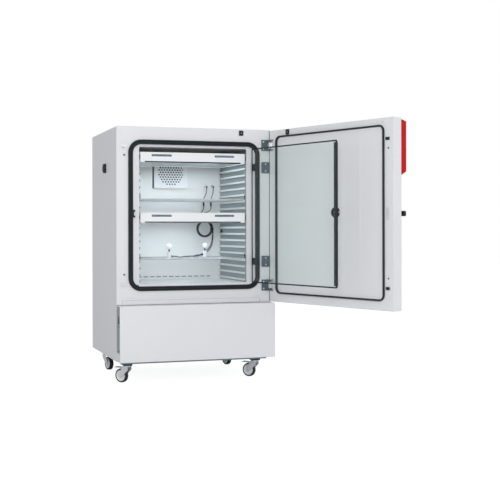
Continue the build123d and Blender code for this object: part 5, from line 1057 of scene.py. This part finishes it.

# %% [markdown]
# ## Light cassettes
# Two shallow hoods of white sheet hold the lamps. Each has a front plate with two grip slots and a
# screwed cap at both ends that reaches a little lower. A black edging closes the plate's lower
# edge, and a black strip up its right end is painted shade for the gap to the side wall. The
# punched-in flaps of the slots keep fingers off the lamps, and their dark blue-grey is painted
# shade inside the slots.


# %% A sheet with holes
def pierced(form, rings, y0, y1, finish):
    """A flat sheet from y0 to y1; its first ring is the outline and the others are holes."""
    body = bmesh.new()
    layers = []
    for y in (y0, y1):
        edges, layer = [], []
        for ring in rings:
            verts = [body.verts.new((x, y, z)) for x, z in ring]
            edges += [body.edges.new((verts[k], verts[k - 1])) for k in range(len(verts))]
            layer.append(verts)
        bmesh.ops.triangle_fill(body, edges=edges, use_beauty=True, use_dissolve=False)
        layers.append(layer)
    for near, far in zip(*layers):
        for k in range(len(near)):
            body.faces.new((near[k - 1], near[k], far[k], far[k - 1]))
    form.take(body, finish)


# %% Cassettes
SLOT_MIDDLES = (-190.0, 190.0)


def cassette(part):
    node = "cassette_" + part + "_housing"
    low, high = box_mm(node)
    form = soft_form(node, WHITE_PAINT, 0.0)
    edge = low.y
    x0, x1 = -316.0, 316.0
    top, sill = high.z, high.z - 52.0
    slot = top - 18.0
    plate = [(x0, sill), (x1, sill), (x1, top), (x0, top)]
    slots = [ring(m - 60.0, m + 60.0, slot - 6.5, slot + 6.5, 3.0) for m in SLOT_MIDDLES]
    pierced(form, [plate] + slots, edge - 0.6, edge, WHITE_PAINT)
    for end in (x0, x1 - 26.0):
        outline = plate_outline(end, end + 26.0, low.z, top, 1.5, edge - 1.2, 3)
        form.prism(outline, (0, 1.3, 0), WHITE_PAINT, 0.4, 1)
        for dz in (12.0, 40.0):
            form.screw((end + 13.0, edge - 1.2, top - dz), OUTWARD, ZINC, 2.6)
    form.block((x0 + 26.0, edge - 1.4, sill - 6.0), (x1 - 26.0, edge + 9.0, sill + 0.4), SEAL_RUBBER, 0.8)
    # black strip up the right end: painted shade for the gap between end cap and side wall
    form.block((x1 - 0.6, edge - 1.6, low.z + 2.0), (x1 + 2.6, edge + 8.0, top), SEAL_RUBBER, 0.8)
    # the flaps' dark blue-grey is painted shade inside the slots
    for middle in SLOT_MIDDLES:
        a, b = middle - 62.0, middle + 62.0
        back = edge + 1.6
        flap = [(a - 4.0, back, slot + 6.4), (b + 4.0, back, slot + 6.4),
                (b + 4.0, back + 14.0, slot - 9.0), (a - 4.0, back + 14.0, slot - 9.0)]
        form.prism(flap, (0, 0.8, 0.9), BLOCK_PLASTIC, 0.2, 1)
    form.piece("cassette_" + part, part + "_cassette", [node], "white_sheet")


cassette("upper")
cassette("lower")

# %% [markdown]
# ## Fan cover
# The cover is a white tray with a round field of holes. A sheet with many holes is one flat
# region: its outline and all the hole circles are filled in one go, and the region is then drawn
# out to the sheet's thickness, so every hole has a real wall.


# %% Fan cover
cover_low, cover_high = box_mm("fan_cover")
fan_x, fan_z = -5.0, cover_low.z + 99.0
cover = Form()
pitch, reach, hole = 17.0, 86.0, 5.2
holes = []
for row in range(-6, 7):
    for column in range(-6, 7):
        x = (column + (row % 2) / 2) * pitch
        z = row * pitch * cos(radians(30))
        if hypot(x, z) <= reach - hole:
            circle = [2 * pi * k / 16 for k in range(16)]
            holes.append([(fan_x + x + hole * cos(a), fan_z + z + hole * sin(a)) for a in circle])
cover_line = loop(cover_low.x, cover_high.x, cover_low.z, cover_high.z, 4.0, 4)
pierced(cover, [[p for p, _ in cover_line]] + holes, cover_low.y, cover_low.y + 1.5, WHITE_PAINT)
rim_y = cover_low.y + 0.2
cover.band(cover_line, [(0, rim_y), (0, cover_high.y), (1.5, cover_high.y), (1.5, rim_y)], WHITE_PAINT)
# black strip along the cover's left edge: a painted shadow for the gap there
cover.block((cover_low.x - 7.5, cover_high.y - 2.0, cover_low.z), (cover_low.x, cover_high.y, cover_high.z),
            BLACK_PLASTIC, 0.3)
for x in (cover_low.x + 9, fan_x, cover_high.x - 9):
    for z in (cover_low.z + 8, cover_high.z - 8):
        cover.screw((x, cover_low.y, z), OUTWARD, ZINC, 2.8)
cover.piece("fan_hole_cover", "cabinet", ["fan_cover"], "white_sheet")

# %% [markdown]
# ## Racks and wall brackets
# The wire racks have upturned hooks at their front corners, so nothing slides off. Small dark
# brackets on the ribbed walls stop the cassettes and racks from tipping when they are drawn out.


# %% Racks
def wire_rack(node, body):
    form = soft_form(node, RACK_STEEL, 0.0, 1)
    low, high = box_mm(node)
    hook = [(0, -1), (2.6, -1), (2.6, 32.0), (1.6, 33.4), (0, 33.4)]
    for x in (low.x + 3.0, high.x - 3.0):
        form.turned((x, low.y + 3.2, low.z + 4.0), UP, hook, BLACK_PLASTIC, 20)
    form.piece("wire_" + node, body, [node], "rack_wire")


wire_rack("rack_lower", "cabinet")
wire_rack("rack_upper", "upper_rack")

# %% Brackets
brackets = Form()
for y, z in ((126.0, 1234.0), (126.0, 868.0)):
    for side in (-1, 1):
        x = side * 325.0
        tip = x - side * 7.0
        wedge = [(x, y - 16, z - 14), (tip, y - 12, z - 14), (x, y - 16, z + 16)]
        brackets.prism(wedge, (0, 30, 0), BLACK_PLASTIC, 0.4, 1)
brackets.piece("wall_brackets", "cabinet", slot="black_plastic")

# %% [markdown]
# ## Ribbed walls and the duct's grille
# The racks and cassettes slide on the pressed ribs of the side walls. The ribs' tips get the paler
# steel as a painted highlight, and the valleys keep the darker one. At the foot of the back wall a
# slotted strip covers the mouth of the air duct.

# %% Walls with a painted highlight on the rib tips
walls = soft_form("side_walls", RIB_STEEL, 0.7)
walls.finishes.append(LINER_STEEL)
# the rib tips and their upper faces take the paler liner steel as a painted highlight
for face in walls.mesh.faces:
    middle = face.calc_center_median()
    if abs(middle.x) < 317.4 or (face.normal.z > 0.9 and abs(middle.x) < 323.0):
        face.material_index = 1
walls.piece("ribbed_walls", "cabinet", ["side_walls"], "rib_steel")

# %% Grille
grille = Form()
room_floor = 563.0
grille_line = ring(-276.0, 276.0, room_floor + 4.0, room_floor + 30.0, 3.0)
slots = [ring(x - 15.0, x + 15.0, room_floor + 14.0, room_floor + 19.0, 2.4)
         for x in (41.0 * (k - 6) for k in range(13))]
pierced(grille, [grille_line] + slots, 156.4, 157.9, LINER_STEEL)
grille.piece("duct_grille", "cabinet", slot="liner_steel")

# %% [markdown]
# ## Outside of the cabinet
# The sheet-metal nodes get their small rounds here. The grey strip in the cover's left side holds
# the power switch, a thin joint line and a small dark plug. The port on the left is closed by a
# rubber plug with a ribbed rim, the back has screws round its panel, and a folded grey skirt
# hangs under the front.


# %% Sheet metal
for node, body, width in (
    ("door_skin", "outer_door", 2.0),
    ("door_inner_panel", "outer_door", 1.2),
    ("outer_shell", "cabinet", 0.6),
    ("front_frame", "cabinet", 0.6),
    ("lower_cover", "cabinet", 0.6),
):
    softened(node, CABINET_PAINT, body, width, "cabinet_paint")

# %% Strip with its switch
strip = soft_form("switch_strip", STRIP_PAINT, 1.0)
strip_low, strip_high = box_mm("switch_strip")
side = strip_low.x
strip.block((side - 0.9, -430.0, 331.0), (side + 0.4, -400.0, 334.0), BLACK_PLASTIC, 0.3, 1)
strip.block((side - 1.6, -421.0, 191.0), (side + 0.4, -409.0, 203.0), BLACK_PLASTIC, 0.6)
for z in (strip_low.z + 12, strip_high.z - 12):
    strip.screw((side, -370.0, z), (-1, 0, 0), ZINC, 3.0)
strip.piece("side_strip", "cabinet", ["switch_strip"], "strip_paint")
softened("power_switch", BLACK_PLASTIC, "rocker", 0.8, "black_plastic")

# %% Port plug
plug_low, plug_high = box_mm("port_plug")
plug_y = (plug_low.y + plug_high.y) / 2
plug_z = (plug_low.z + plug_high.z) / 2
head = plug_low.x
plug = Form()
depth = plug_high.x - head
stopper = [(0, 2.5), (9.0, 2.5), (10.5, 1.0), (12.0, 0.2), (21.0, 0.0), (24.5, 0.6), (26.6, 2.4), (28.0, 5.4),
           (28.0, 8.2), (27.2, 9.0), (27.2, 10.2), (28.0, 11.0), (28.0, 14.6), (27.4, 15.0), (15.0, 15.0),
           (15.0, 22.0), (14.6, depth - 3.0), (12.5, depth), (0, depth)]
plug.turned((head, plug_y, plug_z), (1, 0, 0), stopper, SEAL_RUBBER, 48)
plug.block((head - 0.4, plug_y - 7.5, plug_z - 1.6), (head + 3.2, plug_y + 7.5, plug_z + 1.6), SEAL_RUBBER, 0.6)
plug.piece("port_rubber_plug", "plug", ["port_plug"], "seal_rubber")

# %% Screws on the back
back_trim = Form()
sides = [(x, z) for z in (160.0, 480.0, 800.0, 1120.0, 1435.0) for x in (-448.0, 448.0)]
ends = [(x, z) for x in (-220.0, 0.0, 220.0) for z in (160.0, 1435.0)]
for x, z in sides + ends:
    back_trim.screw((x, 355.0, z), INWARD, ZINC, 4.0)
back_trim.piece("back_screws", "cabinet", slot="zinc_steel")

# %% Skirt under the front
skirt = Form()
fold = [(-352.0, 130.4), (-352.0, 114.0), (-336.0, 114.0), (-336.0, 116.0), (-350.0, 116.0), (-350.0, 130.4)]
skirt.prism([(-440.0, y, z) for y, z in fold], (880.0, 0, 0), STRIP_PAINT, 0.5, 1)
skirt.piece("base_skirt", "cabinet", slot="strip_paint")

# %% [markdown]
# ## Castors
# Each castor has a plated fork under a square block, a white plastic disc with a round-shouldered
# black tyre, and the front two have a ribbed brake pedal. Wheels are round parts, so they are
# turned about the axle that their joint gives. The forks and pedals are softened copies.


# %% Wheels, forks and pedals
def castor_wheel(name):
    joint = joint_named("spin_" + name)
    centre = [v / MM for v in joint["pos_m"]]
    axis = Vector(joint["axis"])
    form = Form()
    tyre = [(31.0, 12.2), (34.0, 12.8), (37.4, 12.2), (39.3, 9.6), (40.0, 5.0)]
    disc = [(4.2, 13.8), (8.6, 13.8), (9.6, 12.8), (10.0, 10.2), (12.5, 9.0), (25.0, 7.6), (28.0, 9.4),
            (29.4, 11.6), (31.6, 11.8)]
    for half, finish, steps in ((tyre, TYRE_RUBBER, 56), (disc, WHITE_PLASTIC, 48)):
        mirrored = [(radius, -along) for radius, along in half]
        form.turned(centre, axis, mirrored + half[::-1] + mirrored[:1], finish, steps)
    for k in range(5):
        spoke = Matrix.Rotation(2 * pi * k / 5, 3, axis) @ axis.orthogonal().normalized()
        side = axis.cross(spoke)
        for face in (-1, 1):
            corners = []
            for reach, half in ((11.0, 3.2), (25.5, 2.2), (25.5, -2.2), (11.0, -3.2)):
                corners.append(Vector(centre) + spoke * reach + side * half + axis * (face * 6.0))
            form.prism(corners, axis * (face * 3.6), WHITE_PLASTIC, 0.5, 1)
    form.piece("wheel_" + name, "wheel_" + name, ["castor_wheel_" + name], "tread", 40)


def castor_pedal(name):
    node = "brake_pedal_" + name
    form = soft_form(node, ZINC, 0.6)
    centre = joint_named("swivel_" + name)["pos_m"]
    low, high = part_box(node)
    middle = (low + high) / 2
    out = Vector((middle.x - centre[0], middle.y - centre[1], 0)).normalized()
    side = Vector((-out.y, out.x, 0))
    base = Vector((centre[0], centre[1], 0)) / MM
    for k in range(5):
        reach = 52.0 + 5.6 * k
        corners = [base + out * r + side * w + Vector((0, 0, 86.9))
                   for r, w in ((reach, -13), (reach + 2.6, -13), (reach + 2.6, 13), (reach, 13))]
        form.prism(corners, (0, 0, 1.5), ZINC, 0.5, 1)
    form.piece("pedal_" + name, "pedal_" + name, [node], "zinc_steel")


for name in ("front_left", "front_right", "rear_left", "rear_right"):
    castor_wheel(name)
    softened("castor_fork_" + name, ZINC, "fork_" + name, 0.6, "zinc_steel")
    if name.startswith("front"):
        castor_pedal(name)
softened("castor_mounts", BLOCK_PAINT, "cabinet", 1.6, "castor_block", 3)

# %% [markdown]
# ## Which node wears which finish
# Nodes whose shape is already right keep their mesh and only change their material slot.

# %% Dress the kept nodes
KEPT = {
    "back_panel": CABINET_PAINT,
    "base_tray": STRIP_PAINT,
    "power_unit": STRIP_PAINT,
    "inner_liner": LINER_STEEL,
    "insulation": FOAM,
    "door_foam": FOAM,
    "compressor": MACHINE_PAINT,
    "fan_motor": MACHINE_PAINT,
    "condenser": FIN_METAL,
    "evaporator": FIN_METAL,
    "humidifier": LINER_STEEL,
    "door_hinge_pins": ZINC,
    "lock_rod": ZINC,
    "port_sleeve": ZINC,
    "fan_impeller": MACHINE_PAINT,
}
for part in ("upper", "lower"):
    KEPT["cassette_" + part + "_diffuser"] = DIFFUSER
    KEPT["cassette_" + part + "_tubes"] = LAMP_GLASS
for name, material in KEPT.items():
    mesh = frame["nodes"][name].data
    mesh.materials.clear()
    mesh.materials.append(material)
print("dressed", len(KEPT), "of", len(frame["nodes"]), "nodes")

# %% [markdown]
# ## Light and floor
# A studio for white goods is itself white: one large soft lamp from the upper left, a weaker one
# from the right, and a pale room all round. The floor and the background show as white to the
# camera and to mirrors, but give the object only a modest, even light.


# %% World, floor and lamps
def white_room(strength):
    world = bpy.data.worlds.new("studio")
    bpy.context.scene.world = world
    world.use_nodes = True
    tree = world.node_tree
    tree.nodes.clear()
    paths = tree.nodes.new("ShaderNodeLightPath")
    seen = tree.nodes.new("ShaderNodeMath")
    seen.operation = "MAXIMUM"
    tree.links.new(paths.outputs["Is Camera Ray"], seen.inputs[0])
    tree.links.new(paths.outputs["Is Transmission Ray"], seen.inputs[1])
    level = tree.nodes.new("ShaderNodeMapRange")
    level.inputs["To Min"].default_value = strength
    level.inputs["To Max"].default_value = 1.0
    tree.links.new(seen.outputs[0], level.inputs["Value"])
    glow = tree.nodes.new("ShaderNodeBackground")
    glow.inputs["Color"].default_value = (1, 1, 1, 1)
    tree.links.new(level.outputs[0], glow.inputs["Strength"])
    out = tree.nodes.new("ShaderNodeOutputWorld")
    tree.links.new(glow.outputs[0], out.inputs[0])


def studio_floor(half_size):
    mesh = bpy.data.meshes.new("studio_floor")
    corners = [(-half_size, -half_size, 0), (half_size, -half_size, 0),
               (half_size, half_size, 0), (-half_size, half_size, 0)]
    mesh.from_pydata(corners, [], [(0, 1, 2, 3)])
    floor = shown("studio_floor", mesh)
    f = Finish("studio_floor")
    paint = f.node("ShaderNodeBsdfDiffuse", {}, {"Color": (0.86, 0.86, 0.87, 1)})
    glow = f.node("ShaderNodeEmission", {}, {"Color": (1, 1, 1, 1), "Strength": 1.4})
    seen = f.node("ShaderNodeLightPath", output="Is Camera Ray")
    mix = f.node("ShaderNodeMixShader", {}, [seen * 0.65, paint, glow])
    f.tree.links.new(mix.socket, f.output.inputs[0])
    mesh.materials.append(f.material)
    floor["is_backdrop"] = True


def soft_lamp(name, place, target, size, power):
    lamp = bpy.data.lights.new(name, "AREA")
    lamp.shape = "RECTANGLE"
    lamp.size, lamp.size_y = size
    lamp.energy = power
    holder = shown(name, lamp)
    holder.location = place
    holder.rotation_euler = (Vector(target) - Vector(place)).to_track_quat("-Z", "Y").to_euler()


white_room(0.62)
studio_floor(14.0)
soft_lamp("key_lamp", (-1.2, -5.2, 1.9), (0, -0.1, 0.9), (2.2, 2.2), 90)
soft_lamp("fill_lamp", (3.6, -3.6, 2.0), (0, -0.3, 0.8), (2.0, 2.6), 16)

# %% Measure and finish
low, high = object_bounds()
